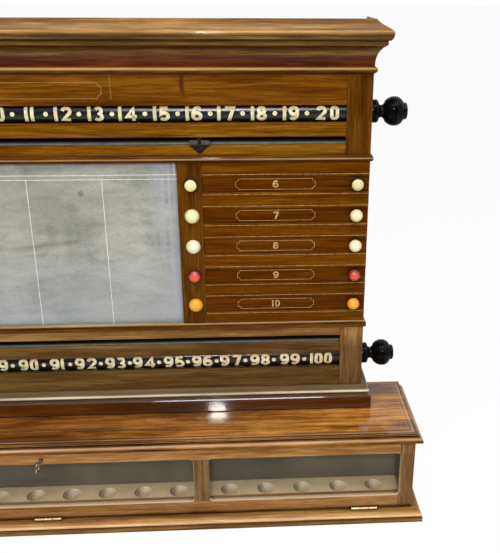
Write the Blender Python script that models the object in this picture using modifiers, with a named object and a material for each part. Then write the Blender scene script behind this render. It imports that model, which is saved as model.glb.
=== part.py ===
"""Billiard marking board: two number rollers, a slate, tally slides and a glazed ball box.

Metres, +Z up. The front faces -Y, and the origin is under the middle of the ball box,
in the plane of the cabinet's front face.
"""

import math

import bmesh
import bpy
from mathutils import Matrix, Vector

# Clearances and allowances
seat_gap = 0.0003  # between a piece and what it rests on or against
slide_gap = 0.0003  # round a strip or pointer that slides in its groove
turn_gap = 0.0004  # round a spindle, pin or key that turns
overrun = 0.002  # how far a cutter runs past what it cuts

# Number rows, which run between the upright stiles at the cabinet's ends
numbers_in_row = 20
row_end_stile = 0.040
row_end_margin = 0.005

# Cabinet
cabinet_width = 1.090
cabinet_depth = 0.076
front_thick = 0.016
side_thick = 0.016
back_thick = 0.0077

# Heights of the cabinet's storeys, from the ball box up
plinth_height = 0.041
lower_front_height = 0.112
lower_bead_height = 0.012
middle_height = 0.278
upper_bead_height = 0.011
upper_front_height = 0.124
cornice_height = 0.081

# Mouldings, as shares of how far each stands out and of its height, bottom to top
plinth_projection = 0.0165
plinth_shares = (
    (0.97, 0.0), (1.0, 0.03), (1.0, 0.56), (0.93, 0.60), (0.69, 0.62), (0.69, 0.70), (0.76, 0.73),
    (0.79, 0.78), (0.76, 0.83), (0.62, 0.87), (0.45, 0.90), (0.28, 0.93), (0.12, 0.97), (0.0, 1.0),
)
plinth_wall = 0.020
bead_projection = 0.0042
bead_shares = (
    (0.45, 0.0), (0.80, 0.10), (1.0, 0.32), (1.0, 0.55), (0.80, 0.80), (0.45, 0.95), (0.20, 1.0),
)
cornice_projection = 0.0252
cornice_shares = (
    (0.0, 0.0), (0.06, 0.02), (0.16, 0.04), (0.22, 0.08), (0.16, 0.12), (0.04, 0.148),
    (0.05, 0.24), (0.085, 0.30), (0.14, 0.352), (0.21, 0.40), (0.29, 0.436), (0.44, 0.494),
    (0.56, 0.52), (0.69, 0.541), (0.69, 0.62), (0.81, 0.625), (0.90, 0.65), (0.96, 0.69),
    (1.0, 0.75), (0.98, 0.785), (0.91, 0.81), (0.71, 0.855), (0.54, 0.88), (0.38, 0.905),
    (0.18, 0.95), (0.08, 0.98), (0.02, 1.0),
)
cornice_wall = 0.018
cornice_top_thick = 0.012  # from the moulding's rim down to the hollow
cornice_top_recess = 0.004
cornice_rim = 0.003

# Rollers, each turned in one with its spindles and the knobs at its ends
roller_radius = 0.020
roller_set_back = 0.004
spindle_radius = 0.006
roller_side_gap = 0.001
roller_steps = 24
window_height = 0.027
cove_gap = 0.001
upper_axis_height = 0.0645  # above the foot of the upper front
lower_axis_height = 0.049  # above the foot of the lower front
knob_length = 0.061
knob_radius = 0.0232
knob_shares = (
    (0.0, 1.0), (0.44, 1.0), (0.51, 0.98), (0.51, 0.93), (0.46, 0.915), (0.62, 0.90), (0.74, 0.865),
    (0.73, 0.845), (0.84, 0.82), (0.91, 0.765), (0.90, 0.75), (0.98, 0.70), (1.0, 0.62), (0.97, 0.53),
    (0.88, 0.44), (0.72, 0.36), (0.50, 0.305), (0.42, 0.25), (0.45, 0.18), (0.56, 0.13), (0.76, 0.045),
    (0.81, 0.03), (0.81, 0.0),
)

# Pointer slots, the metal strips that they are lined with, and the pointers
slot_height = 0.012
upper_slot_height = 0.0232  # above the foot of the upper front
lower_slot_height = 0.0908  # above the foot of the lower front
strip_height = 0.0055
strip_set_back = 0.0015
pointer_width = 0.031
pointer_rise = 0.001  # from the slot's middle up to the plate's top
pointer_shoulder = 0.007  # from the slot's middle down to where the plate narrows
pointer_reach = 0.0198  # from the slot's middle down to the tip
pointer_plate = 0.0015
pointer_neck_width = 0.006
pointer_keeper_width = 0.012
pointer_keeper_reach = 0.0075
upper_pointer_number = 16
lower_pointer_number = 3

# Slate and the stiles beside it
slate_half_width = 0.2368
slate_recess = 0.006
slate_thick = 0.008
slate_rebate = 0.007
stile_width = 0.0392
button_inset = 0.0175  # from the stile's outer edge to a button's middle
button_radius = 0.0118
button_rise = 0.0095
button_segments = 14
button_rings = 8

# Tally slides
slides_per_side = 5
slide_end_margin = 0.035  # from the storey's foot or head to the nearest slide's middle
slides_drop = 0.001  # of the middle slide below the storey's middle
slide_height = 0.025
slide_thick = 0.010
slide_recess = 0.0013
tongue_rise = 0.003
tongue_front = 0.005  # from the slide's face back to its tongue
tongue_thick = 0.0035
slide_back_ease = 0.0004  # how much lower the slide is at each edge behind its tongue
slide_knob_inset = 0.020  # from the cabinet's side to the knob's middle
slide_knob_radius = 0.0107
slide_knob_height = 0.0165
slide_knob_steps = 14
slide_knob_shares = (
    (0.0, 1.0), (0.38, 0.97), (0.72, 0.85), (0.94, 0.66), (1.0, 0.48), (0.90, 0.29), (0.64, 0.13),
    (0.56, 0.0),
)
peg_radius = 0.003
peg_length = 0.005

# Ball box
box_width = 1.254
box_front = 0.101  # how far the door's face stands before the cabinet's face
box_clear_height = 0.130
box_end_thick = 0.016
box_back_thick = 0.0077
floor_height = 0.020
floor_projection = 0.0175
floor_shares = (
    (0.97, 0.0), (1.0, 0.04), (1.0, 0.40), (0.857, 0.46), (0.857, 0.49), (0.90, 0.525), (0.90, 0.625),
    (0.83, 0.775), (0.75, 0.86), (0.657, 0.925), (0.56, 0.97), (0.457, 1.0),
)
top_height = 0.021
top_projection = 0.0105
top_shares = (
    (0.14, 0.0), (0.18, 0.10), (0.42, 0.22), (0.80, 0.27), (1.0, 0.285), (1.0, 0.45), (0.91, 0.52),
    (0.72, 0.60), (0.50, 0.68), (0.33, 0.765), (0.14, 0.77), (0.14, 0.80), (0.27, 0.84), (0.31, 0.89),
    (0.27, 0.95), (0.19, 1.0),
)
tray_height = 0.0157
tray_depth = 0.0523
lining_thick = 0.006
cup_radius = 0.034  # of the hollow, which a ball rests in with room to spare
cup_depth = 0.004
cup_segments = 16
cup_rings = 15
middle_cups = 8
end_cups = 5
end_cup_pitch = 0.0645

# Drop front of the ball box
door_thick = 0.0177
door_foot_gap = 0.0006
door_head_gap = 0.0006
door_head_bevel = 0.0018  # lets the head's back edge swing past the box's top
door_stile_width = 0.0245
door_mullion_width = 0.027
door_bottom_rail = 0.026
door_top_rail = 0.0194
middle_light_width = 0.498
light_chamfer = 0.0015
light_corner_radius = 0.005
light_corner_steps = 4
glass_thick = 0.003
glass_rebate = 0.003
glass_set_back = 0.008  # from the door's face to the glass

# Hinges along the door's foot
hinge_length = 0.045
hinge_inset = 0.084  # from the box's end to the middle of an outer hinge
hinge_leaf_width = 0.014
hinge_leaf_thick = 0.0012
hinge_leaf_parting = 0.0008
knuckle_radius = 0.0028
hinge_pin_radius = 0.0010
knuckle_ease = 0.0003  # how much shorter a knuckle is at each end than its leaf's tongue
hinge_segments = 12

# Lock and key
lock_width = 0.036
lock_height = 0.0122
lock_depth = 0.0084
lock_wall = 0.0012
lock_head_wall = 0.0028
bolt_width = 0.014
bolt_thick = 0.002
bolt_throw = 0.006
key_drop = 0.0094  # from the door's head to the key's middle
key_shank_radius = 0.0020
key_collar_radius = 0.0034
key_collar_length = 0.0025
key_collar_stand = 0.004
key_bow_stand = 0.0135  # from the door's face to the near side of the bow
key_bow_radius = 0.0085
key_bow_wire = 0.0017
key_bit_length = 0.0022
key_bit_drop = 0.0038
key_bit_thick = 0.0016
keyhole_slot_gap = 0.0006
key_segments = 14

# Heights and planes that follow from the sizes above
half_cabinet = cabinet_width / 2
half_box = box_width / 2
half_row = half_cabinet - row_end_stile
number_pitch = 2 * (half_row - row_end_margin) / numbers_in_row
floor_top = floor_height
slide_pitch = (middle_height - 2 * slide_end_margin) / (slides_per_side - 1)
box_ceiling = floor_top + box_clear_height
box_top = box_ceiling + top_height
plinth_top = box_top + plinth_height
lower_front_top = plinth_top + lower_front_height
middle_foot = lower_front_top + lower_bead_height
middle_top = middle_foot + middle_height
upper_front_foot = middle_top + upper_bead_height
upper_front_top = upper_front_foot + upper_front_height
board_top = upper_front_top + cornice_height
roller_y = roller_set_back + roller_radius
upper_axis_z = upper_front_foot + upper_axis_height
lower_axis_z = plinth_top + lower_axis_height
side_inner = half_cabinet - side_thick
stile_outer = slate_half_width + stile_width
door_face = -box_front
door_back = door_face + door_thick
door_foot = floor_top + door_foot_gap
door_head = box_ceiling - door_head_gap
hinge_axis_y = door_face - knuckle_radius - seat_gap
hinge_axis_z = floor_top + seat_gap + hinge_leaf_thick + hinge_leaf_parting / 2
light_foot = door_foot + door_bottom_rail
light_head = door_head - door_top_rail
key_z = door_head - key_drop
half_light = middle_light_width / 2
end_light_inner = half_light + door_mullion_width
end_light_outer = half_box - door_stile_width

upper_slot_z = upper_front_foot + upper_slot_height
lower_slot_z = plinth_top + lower_slot_height

sides = (("left", -1), ("right", 1))


def clear_scene():
    """Remove every object, and the data that only they used."""
    for obj in list(bpy.data.objects):
        bpy.data.objects.remove(obj, do_unlink=True)
    for group in list(bpy.data.collections):
        bpy.data.collections.remove(group)


def make_finish(name, colour, roughness, metallic=0.0, alpha=1.0):
    finish = bpy.data.materials.new(name)
    finish.use_nodes = True
    shader = finish.node_tree.nodes["Principled BSDF"]
    shader.inputs["Base Color"].default_value = (*colour, 1.0)
    shader.inputs["Roughness"].default_value = roughness
    shader.inputs["Metallic"].default_value = metallic
    shader.inputs["Alpha"].default_value = alpha
    finish.diffuse_color = (*colour, alpha)
    return finish


clear_scene()
parts = bpy.data.collections.new("billiard_scoreboard")
cutters = bpy.data.collections.new("cutters")
for group in (parts, cutters):
    bpy.context.scene.collection.children.link(group)

weld_distance = 0.00002
flat_angle = math.radians(1)
smooth_angle = math.radians(40)

walnut = make_finish("walnut", (0.27, 0.13, 0.05), 0.35)
dark_walnut = make_finish("dark_walnut", (0.17, 0.07, 0.03), 0.35)
slide_walnut = make_finish("slide_walnut", (0.20, 0.085, 0.03), 0.35)
ebonised = make_finish("ebonised", (0.012, 0.012, 0.012), 0.22)
slate_grey = make_finish("slate_grey", (0.36, 0.37, 0.37), 0.85)
box_lining_green = make_finish("box_lining_green", (0.12, 0.16, 0.15), 0.9)
tray_grey = make_finish("tray_grey", (0.36, 0.33, 0.28), 0.8)
glass_clear = make_finish("glass_clear", (0.85, 0.90, 0.90), 0.05, alpha=0.3)
brass = make_finish("brass", (0.75, 0.56, 0.24), 0.3, metallic=1.0)
steel = make_finish("steel", (0.45, 0.43, 0.40), 0.35, metallic=1.0)
ball_finishes = [
    make_finish("ball_cream", (0.86, 0.80, 0.52), 0.25),
    make_finish("ball_ivory", (0.86, 0.80, 0.56), 0.25),
    make_finish("ball_white", (0.88, 0.86, 0.70), 0.25),
    make_finish("ball_red", (0.60, 0.05, 0.05), 0.25),
    make_finish("ball_orange", (0.90, 0.42, 0.05), 0.25),
]


def add_piece(name, mesh, origin, finish):
    """A node of the board where a finish is given, and a cutter where none is."""
    piece = bpy.data.objects.new(name, mesh)
    piece.location = origin
    if finish:
        mesh.materials.append(finish)
        parts.objects.link(piece)
    else:
        cutters.objects.link(piece)
        piece.hide_render = True
        piece.display_type = "WIRE"
    return piece


def mesh_from(name, fill, smooth_below=None):
    """A mesh whose faces the function fill adds; corners duller than the angle are smoothed."""
    mesh = bpy.data.meshes.new(name)
    bm = bmesh.new()
    fill(bm)
    bmesh.ops.recalc_face_normals(bm, faces=bm.faces)
    bm.to_mesh(mesh)
    bm.free()
    if smooth_below:
        mesh.shade_smooth()
        mesh.set_sharp_from_angle(angle=smooth_below)
    return mesh


def block(name, low, high, finish=None, origin=None):
    """A rectangular board between two corners."""
    low, high = Vector(low), Vector(high)
    origin = Vector(origin) if origin else (low + high) / 2
    size = high - low
    place = Matrix.Translation((low + high) / 2 - origin) @ Matrix.Diagonal((*size, 1))
    mesh = mesh_from(name, lambda bm: bmesh.ops.create_cube(bm, size=1, matrix=place))
    return add_piece(name, mesh, origin, finish)


def light_cutter(name, low, high):
    """A cutter for a light with rounded corners, which widens at the door's face to its chamfer."""
    def fill(bm):
        rings = []
        for y, grow in (
            (door_face - overrun, light_chamfer + overrun), (door_face + light_chamfer, 0),
            (door_back + overrun, 0),
        ):
            ring = []
            for quarter, (x, z) in enumerate((
                (high, light_head), (low, light_head), (low, light_foot), (high, light_foot),
            )):
                x -= math.copysign(light_corner_radius, x - (low + high) / 2)
                z -= math.copysign(light_corner_radius, z - (light_foot + light_head) / 2)
                for step in range(light_corner_steps + 1):
                    angle = math.pi / 2 * (quarter + step / light_corner_steps)
                    reach = light_corner_radius + grow
                    ring.append(bm.verts.new((
                        x + reach * math.cos(angle), y, z + reach * math.sin(angle),
                    )))
            rings.append(ring)
        for near, far in zip(rings, rings[1:]):
            for number in range(len(near)):
                bm.faces.new((near[number - 1], near[number], far[number], far[number - 1]))
        bm.faces.new(rings[0])
        bm.faces.new(rings[-1])

    return add_piece(name, mesh_from(name, fill), (0, 0, 0), None)


def rod(name, start, end, radius, segments, finish=None, origin=None):
    """A cylinder from one point to another."""
    start, end = Vector(start), Vector(end)
    origin = Vector(origin) if origin else (start + end) / 2
    along = end - start
    turn = along.to_track_quat("Z", "Y").to_matrix().to_4x4()
    place = Matrix.Translation((start + end) / 2 - origin) @ turn

    def fill(bm):
        bmesh.ops.create_cone(
            bm, cap_ends=True, segments=segments, radius1=radius, radius2=radius,
            depth=along.length, matrix=place,
        )

    return add_piece(name, mesh_from(name, fill, smooth_angle), origin, finish)


def balls(name, centres, radius, segments, rings, flatten=1.0):
    """A cutter or an addition of equal balls, each flattened along Y by the factor given."""
    def fill(bm):
        for centre in centres:
            place = Matrix.Translation(centre) @ Matrix.Diagonal((1, flatten, 1, 1))
            bmesh.ops.create_uvsphere(
                bm, u_segments=segments, v_segments=rings, radius=radius, matrix=place,
            )

    return add_piece(name, mesh_from(name, fill, smooth_angle), (0, 0, 0), None)


# Which way a prism's outline lies: its two axes, and then the one that it is drawn out along
outline_turns = {
    "XY": Matrix.Identity(3),
    "YZ": Matrix(((0, 0, 1), (1, 0, 0), (0, 1, 0))),
    "XZ": Matrix(((1, 0, 0), (0, 0, -1), (0, 1, 0))),
}


def prism(name, outline, plane, origin, length, finish=None):
    """A flat outline drawn out by half the length to both sides of its origin."""
    curve = bpy.data.curves.new(name, "CURVE")
    curve.dimensions = "2D"
    curve.fill_mode = "BOTH"
    curve.extrude = length / 2
    spline = curve.splines.new("POLY")
    spline.points.add(len(outline) - 1)
    for point, (a, b) in zip(spline.points, outline):
        point.co = (a, b, 0, 1)
    spline.use_cyclic_u = True
    drawn = bpy.data.objects.new(name + "_outline", curve)
    parts.objects.link(drawn)
    evaluated = drawn.evaluated_get(bpy.context.evaluated_depsgraph_get())
    mesh = bpy.data.meshes.new_from_object(evaluated)
    bpy.data.objects.remove(drawn, do_unlink=True)
    mesh.materials.clear()
    mesh.transform(outline_turns[plane].to_4x4())

    def weld(bm):
        bm.from_mesh(mesh)
        bmesh.ops.remove_doubles(bm, verts=bm.verts, dist=weld_distance)
        bmesh.ops.dissolve_limit(bm, angle_limit=flat_angle, verts=bm.verts, edges=bm.edges)

    return add_piece(name, mesh_from(name, weld), origin, finish)


def moulded_slab(name, half_width, front, back, low, high, projection, shares, finish):
    """A board whose front and two sides carry one moulding, mitred at the corners."""
    def fill(bm):
        rings = []
        for out_share, up_share in shares:
            out = projection * out_share
            z = low + (high - low) * up_share
            wide = half_width + out
            corners = ((-wide, back), (-wide, front - out), (wide, front - out), (wide, back))
            rings.append([bm.verts.new((x, y, z)) for x, y in corners])
        for below, above in zip(rings, rings[1:]):
            for a, b in ((0, 1), (1, 2), (2, 3)):
                bm.faces.new((below[a], below[b], above[b], above[a]))
        bm.faces.new(rings[0])
        bm.faces.new(rings[-1])
        bm.faces.new([ring[0] for ring in rings] + [ring[3] for ring in reversed(rings)])

    return add_piece(name, mesh_from(name, fill), (0, 0, 0), finish)


def turned(name, points, steps, origin, axis, finish):
    """A turned piece whose profile of radii and heights, top to bottom, stands along the axis."""
    mesh = bpy.data.meshes.new(name)
    edges = [(number, number + 1) for number in range(len(points) - 1)]
    mesh.from_pydata([(radius, 0, height) for radius, height in points], edges, [])
    piece = add_piece(name, mesh, origin, finish)
    piece.rotation_mode = "QUATERNION"
    piece.rotation_quaternion = Vector(axis).to_track_quat("Z", "Y")
    screw = piece.modifiers.new("Turn", "SCREW")
    screw.steps = steps
    screw.render_steps = steps
    screw.use_merge_vertices = True
    screw.merge_threshold = weld_distance
    screw.use_smooth_shade = True
    return piece


def combine(piece, tool, operation):
    change = piece.modifiers.new(tool.name, "BOOLEAN")
    change.operation = operation
    change.solver = "EXACT"
    change.object = tool


def cut(piece, *tools):
    for tool in tools:
        combine(piece, tool, "DIFFERENCE")


def add(piece, *tools):
    for tool in tools:
        combine(piece, tool, "UNION")


def hang_on(parent, *children):
    """Parent the children where they are."""
    bpy.context.view_layer.update()
    for child in children:
        child.parent = parent
        child.matrix_parent_inverse = parent.matrix_world.inverted()


def span(side, inner, outer):
    """The lower and the higher X of a stretch on one side of the middle."""
    return sorted((side * inner, side * outer))


def make_front(row, foot, head, axis_z, slot_z):
    """A front board with the window of its roller, a cove behind it, and a lined pointer slot."""
    front = block(
        f"{row}_front", (-half_cabinet, 0, foot + seat_gap), (half_cabinet, front_thick, head), walnut,
    )
    for name, middle, height in (("window", axis_z, window_height), ("slot", slot_z, slot_height)):
        cut(front, block(
            f"{row}_{name}", (-half_row, -overrun, middle - height / 2),
            (half_row, front_thick + overrun, middle + height / 2),
        ))
    cut(front, rod(
        f"{row}_cove", (-half_cabinet - overrun, roller_y, axis_z),
        (half_cabinet + overrun, roller_y, axis_z), roller_radius + cove_gap, roller_steps,
    ))
    slot_foot = slot_z - slot_height / 2
    block(
        f"{row}_slot_strip", (-half_row + seat_gap, strip_set_back, slot_foot + seat_gap),
        (half_row - seat_gap, front_thick, slot_foot + strip_height), steel,
    )


def make_roller(row, axis_z):
    """A number roller: drum, spindles and end knobs, turned in one."""
    drum_half = side_inner - roller_side_gap
    knob_foot = half_cabinet + turn_gap
    upper_half = [(knob_radius * out, knob_foot + knob_length * up) for out, up in knob_shares]
    upper_half += [(spindle_radius, knob_foot), (spindle_radius, drum_half), (roller_radius, drum_half)]
    lower_half = [(radius, -along) for radius, along in reversed(upper_half)]
    turned(
        f"{row}_roller", upper_half + lower_half, roller_steps, (0, roller_y, axis_z), (1, 0, 0),
        ebonised,
    )


def make_pointer(row, slot_z, number):
    """A pointer that slides in its slot: a pointed plate in front, a neck and a keeper behind."""
    x = (number - (numbers_in_row + 1) / 2) * number_pitch
    half = pointer_width / 2
    plate_y = -seat_gap - pointer_plate / 2
    outline = (
        (-half, pointer_rise), (-half, -pointer_shoulder), (0, -pointer_reach),
        (half, -pointer_shoulder), (half, pointer_rise),
    )
    pointer = prism(f"{row}_pointer", outline, "XZ", (x, plate_y, slot_z), pointer_plate, brass)
    neck_foot = slot_z - slot_height / 2 + strip_height + slide_gap
    keeper_front = front_thick + seat_gap
    neck = block(
        f"{row}_pointer_neck", (x - pointer_neck_width / 2, plate_y, neck_foot),
        (x + pointer_neck_width / 2, keeper_front + pointer_plate / 2, slot_z + slot_height / 2 - slide_gap),
    )
    keeper = block(
        f"{row}_pointer_keeper",
        (x - pointer_keeper_width / 2, keeper_front, slot_z - pointer_keeper_reach),
        (x + pointer_keeper_width / 2, keeper_front + pointer_plate, slot_z + pointer_keeper_reach),
    )
    add(pointer, neck, keeper)


def make_cabinet():
    plinth = moulded_slab(
        "cabinet_plinth", half_cabinet, 0, cabinet_depth, box_top + seat_gap, plinth_top,
        plinth_projection, plinth_shares, walnut,
    )
    cut(plinth, block(
        "plinth_hollow",
        (-half_cabinet + plinth_wall, plinth_wall, box_top - overrun),
        (half_cabinet - plinth_wall, cabinet_depth - plinth_wall, plinth_top + overrun),
    ))
    cornice = moulded_slab(
        "cornice", half_cabinet, 0, cabinet_depth, upper_front_top + seat_gap, board_top,
        cornice_projection, cornice_shares, walnut,
    )
    cut(cornice, block(
        "cornice_hollow",
        (-half_cabinet + cornice_wall, cornice_wall, upper_front_top - overrun),
        (half_cabinet - cornice_wall, cabinet_depth - cornice_wall, board_top - cornice_top_thick),
    ))
    cut(cornice, block(
        "cornice_top_sunk", (-half_cabinet + cornice_rim, cornice_rim, board_top - cornice_top_recess),
        (half_cabinet - cornice_rim, cabinet_depth + overrun, board_top + overrun),
    ))
    side_front = front_thick + seat_gap
    side_back = cabinet_depth - back_thick - seat_gap
    for name, low, high in (
        ("lower_bead", lower_front_top, middle_foot), ("upper_bead", middle_top, upper_front_foot),
    ):
        bead = moulded_slab(
            name, half_cabinet, 0, side_back, low + seat_gap, high, bead_projection, bead_shares,
            walnut,
        )
        for side_name, side in sides:
            near, far = span(side, side_inner - seat_gap, half_cabinet + seat_gap)
            cut(bead, block(
                f"{name}_notch_{side_name}",
                (near, side_front - seat_gap, low - overrun), (far, side_back + overrun, high + overrun),
            ))
    for side_name, side in sides:
        near, far = span(side, side_inner, half_cabinet)
        board = block(
            f"cabinet_side_{side_name}",
            (near, side_front, plinth_top + seat_gap), (far, side_back, upper_front_top), walnut,
        )
        for row, axis_z in (("upper", upper_axis_z), ("lower", lower_axis_z)):
            cut(board, rod(
                f"side_{side_name}_{row}_bearing", (near - overrun, roller_y, axis_z),
                (far + overrun, roller_y, axis_z), spindle_radius + turn_gap, roller_steps,
            ))
    block(
        "cabinet_back",
        (-half_cabinet, cabinet_depth - back_thick, plinth_top + seat_gap),
        (half_cabinet, cabinet_depth, upper_front_top), dark_walnut,
    )
    for row, foot, head, axis_z, slot_z, number in (
        ("lower", plinth_top, lower_front_top, lower_axis_z, lower_slot_z, lower_pointer_number),
        ("upper", upper_front_foot, upper_front_top, upper_axis_z, upper_slot_z, upper_pointer_number),
    ):
        make_front(row, foot, head, axis_z, slot_z)
        make_roller(row, axis_z)
        make_pointer(row, slot_z, number)


def slide_heights():
    middle = (middle_foot + middle_top) / 2 - slides_drop
    first = middle + slide_pitch * (slides_per_side - 1) / 2
    return [first - slide_pitch * number for number in range(slides_per_side)]


def make_slate():
    """The slate, and the stile at each side that it is rebated into, with its ball buttons."""
    slate_reach = slate_half_width + slate_rebate - seat_gap
    block(
        "slate", (-slate_reach, slate_recess, middle_foot + seat_gap),
        (slate_reach, slate_recess + slate_thick, middle_top - seat_gap), slate_grey,
    )
    rebate_front = slate_recess - seat_gap
    rebate_outer = slate_half_width + slate_rebate
    section = (
        (slate_half_width, 0), (stile_outer, 0), (stile_outer, front_thick),
        (rebate_outer, front_thick), (rebate_outer, rebate_front), (slate_half_width, rebate_front),
    )
    length = middle_height - 2 * seat_gap
    middle_z = (middle_foot + middle_top) / 2
    for side_name, side in sides:
        outline = [(side * x, y) for x, y in section]
        stile = prism(f"slate_stile_{side_name}", outline, "XY", (0, 0, middle_z), length, dark_walnut)
        button_x = side * (stile_outer - button_inset)
        add(stile, balls(
            f"ball_buttons_{side_name}", [(button_x, 0, z) for z in slide_heights()],
            button_radius, button_segments, button_rings, button_rise / button_radius,
        ))


def tongued_section(face, tongue_face, tongue_back, back, half, tongue_half):
    """The outline, in Y and Z, of a strip or a groove with a tongue along both edges."""
    back_half = half - slide_back_ease
    lower_edge = [
        (face, -half), (tongue_face, -half), (tongue_face, -tongue_half), (tongue_back, -tongue_half),
        (tongue_back, -back_half), (back, -back_half),
    ]
    return lower_edge + [(y, -z) for y, z in reversed(lower_edge)]


def make_slides():
    """On each side a grooved frame, and the slides with their knobs."""
    face = slide_recess
    back = face + slide_thick
    tongue_face = face + tongue_front
    tongue_back = tongue_face + tongue_thick
    half = slide_height / 2
    strip = tongued_section(face, tongue_face, tongue_back, back, half, half + tongue_rise)
    groove = tongued_section(
        -overrun, tongue_face - slide_gap, tongue_back + slide_gap, back + slide_gap,
        half + slide_gap, half + tongue_rise + slide_gap,
    )
    knob_outline = [
        (slide_knob_radius * out, slide_knob_height * up) for out, up in slide_knob_shares
    ] + [(peg_radius, 0), (peg_radius, -peg_length), (0, -peg_length)]
    inner = stile_outer + seat_gap
    middle_x = (inner + half_cabinet) / 2
    length = half_cabinet - inner
    for side_name, side in sides:
        near, far = span(side, inner, half_cabinet)
        frame = block(
            f"slide_frame_{side_name}",
            (near, 0, middle_foot + seat_gap), (far, front_thick, middle_top - seat_gap), walnut,
        )
        for number, z in enumerate(slide_heights(), 1):
            name = f"slide_{side_name}_{number}"
            centre = Vector((side * middle_x, 0, z))
            cut(frame, prism(f"{name}_groove", groove, "YZ", centre, length + 2 * overrun))
            slide = prism(
                name, strip, "YZ", centre + Vector((side * slide_gap / 2, 0, 0)),
                length - slide_gap, slide_walnut,
            )
            seat = Vector((side * (half_cabinet - slide_knob_inset), face - seat_gap, z))
            knob = turned(
                f"slide_knob_{side_name}_{number}", knob_outline, slide_knob_steps, seat, (0, -1, 0),
                ball_finishes[number - 1],
            )
            cut(slide, rod(
                f"{name}_peg_hole", seat - Vector((0, overrun, 0)),
                seat + Vector((0, peg_length + 2 * seat_gap, 0)), peg_radius + seat_gap,
                slide_knob_steps,
            ))
            hang_on(slide, knob)


def cup_places():
    """The middles of the cups, spread behind each light of the door."""
    middle_pitch = middle_light_width / middle_cups
    places = [middle_pitch * (number + 0.5) - half_light for number in range(middle_cups)]
    for _, side in sides:
        places += [side * (end_light_inner + end_cup_pitch * (number + 0.5)) for number in range(end_cups)]
    return places


def make_box():
    floor = moulded_slab(
        "base_floor", half_box, door_face, cabinet_depth, 0, floor_top, floor_projection,
        floor_shares, walnut,
    )
    top = moulded_slab(
        "base_top", half_box, door_face, cabinet_depth, box_ceiling + seat_gap, box_top,
        top_projection, top_shares, walnut,
    )
    end_back = cabinet_depth - box_back_thick - seat_gap
    end_inner = half_box - box_end_thick
    for side_name, side in sides:
        near, far = span(side, end_inner, half_box)
        block(
            f"base_end_{side_name}", (near, door_back + seat_gap, floor_top + seat_gap),
            (far, end_back, box_ceiling), walnut,
        )
    block(
        "base_back", (-half_box, cabinet_depth - box_back_thick, floor_top + seat_gap),
        (half_box, cabinet_depth, box_ceiling), dark_walnut,
    )
    reach = end_inner - seat_gap
    tray_front = door_back + seat_gap
    tray_back = tray_front + tray_depth
    tray_top = floor_top + seat_gap + tray_height
    tray = block(
        "ball_tray", (-reach, tray_front, floor_top + seat_gap), (reach, tray_back, tray_top), tray_grey,
    )
    cup_y = (tray_front + tray_back) / 2
    cup_z = tray_top - cup_depth + cup_radius
    cut(tray, balls(
        "ball_cups", [(x, cup_y, cup_z) for x in cup_places()], cup_radius, cup_segments, cup_rings,
    ))
    lining_front = tray_back + seat_gap
    block(
        "ball_box_lining", (-reach, lining_front, floor_top + seat_gap),
        (reach, lining_front + lining_thick, box_ceiling), box_lining_green,
    )
    return floor, top


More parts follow.
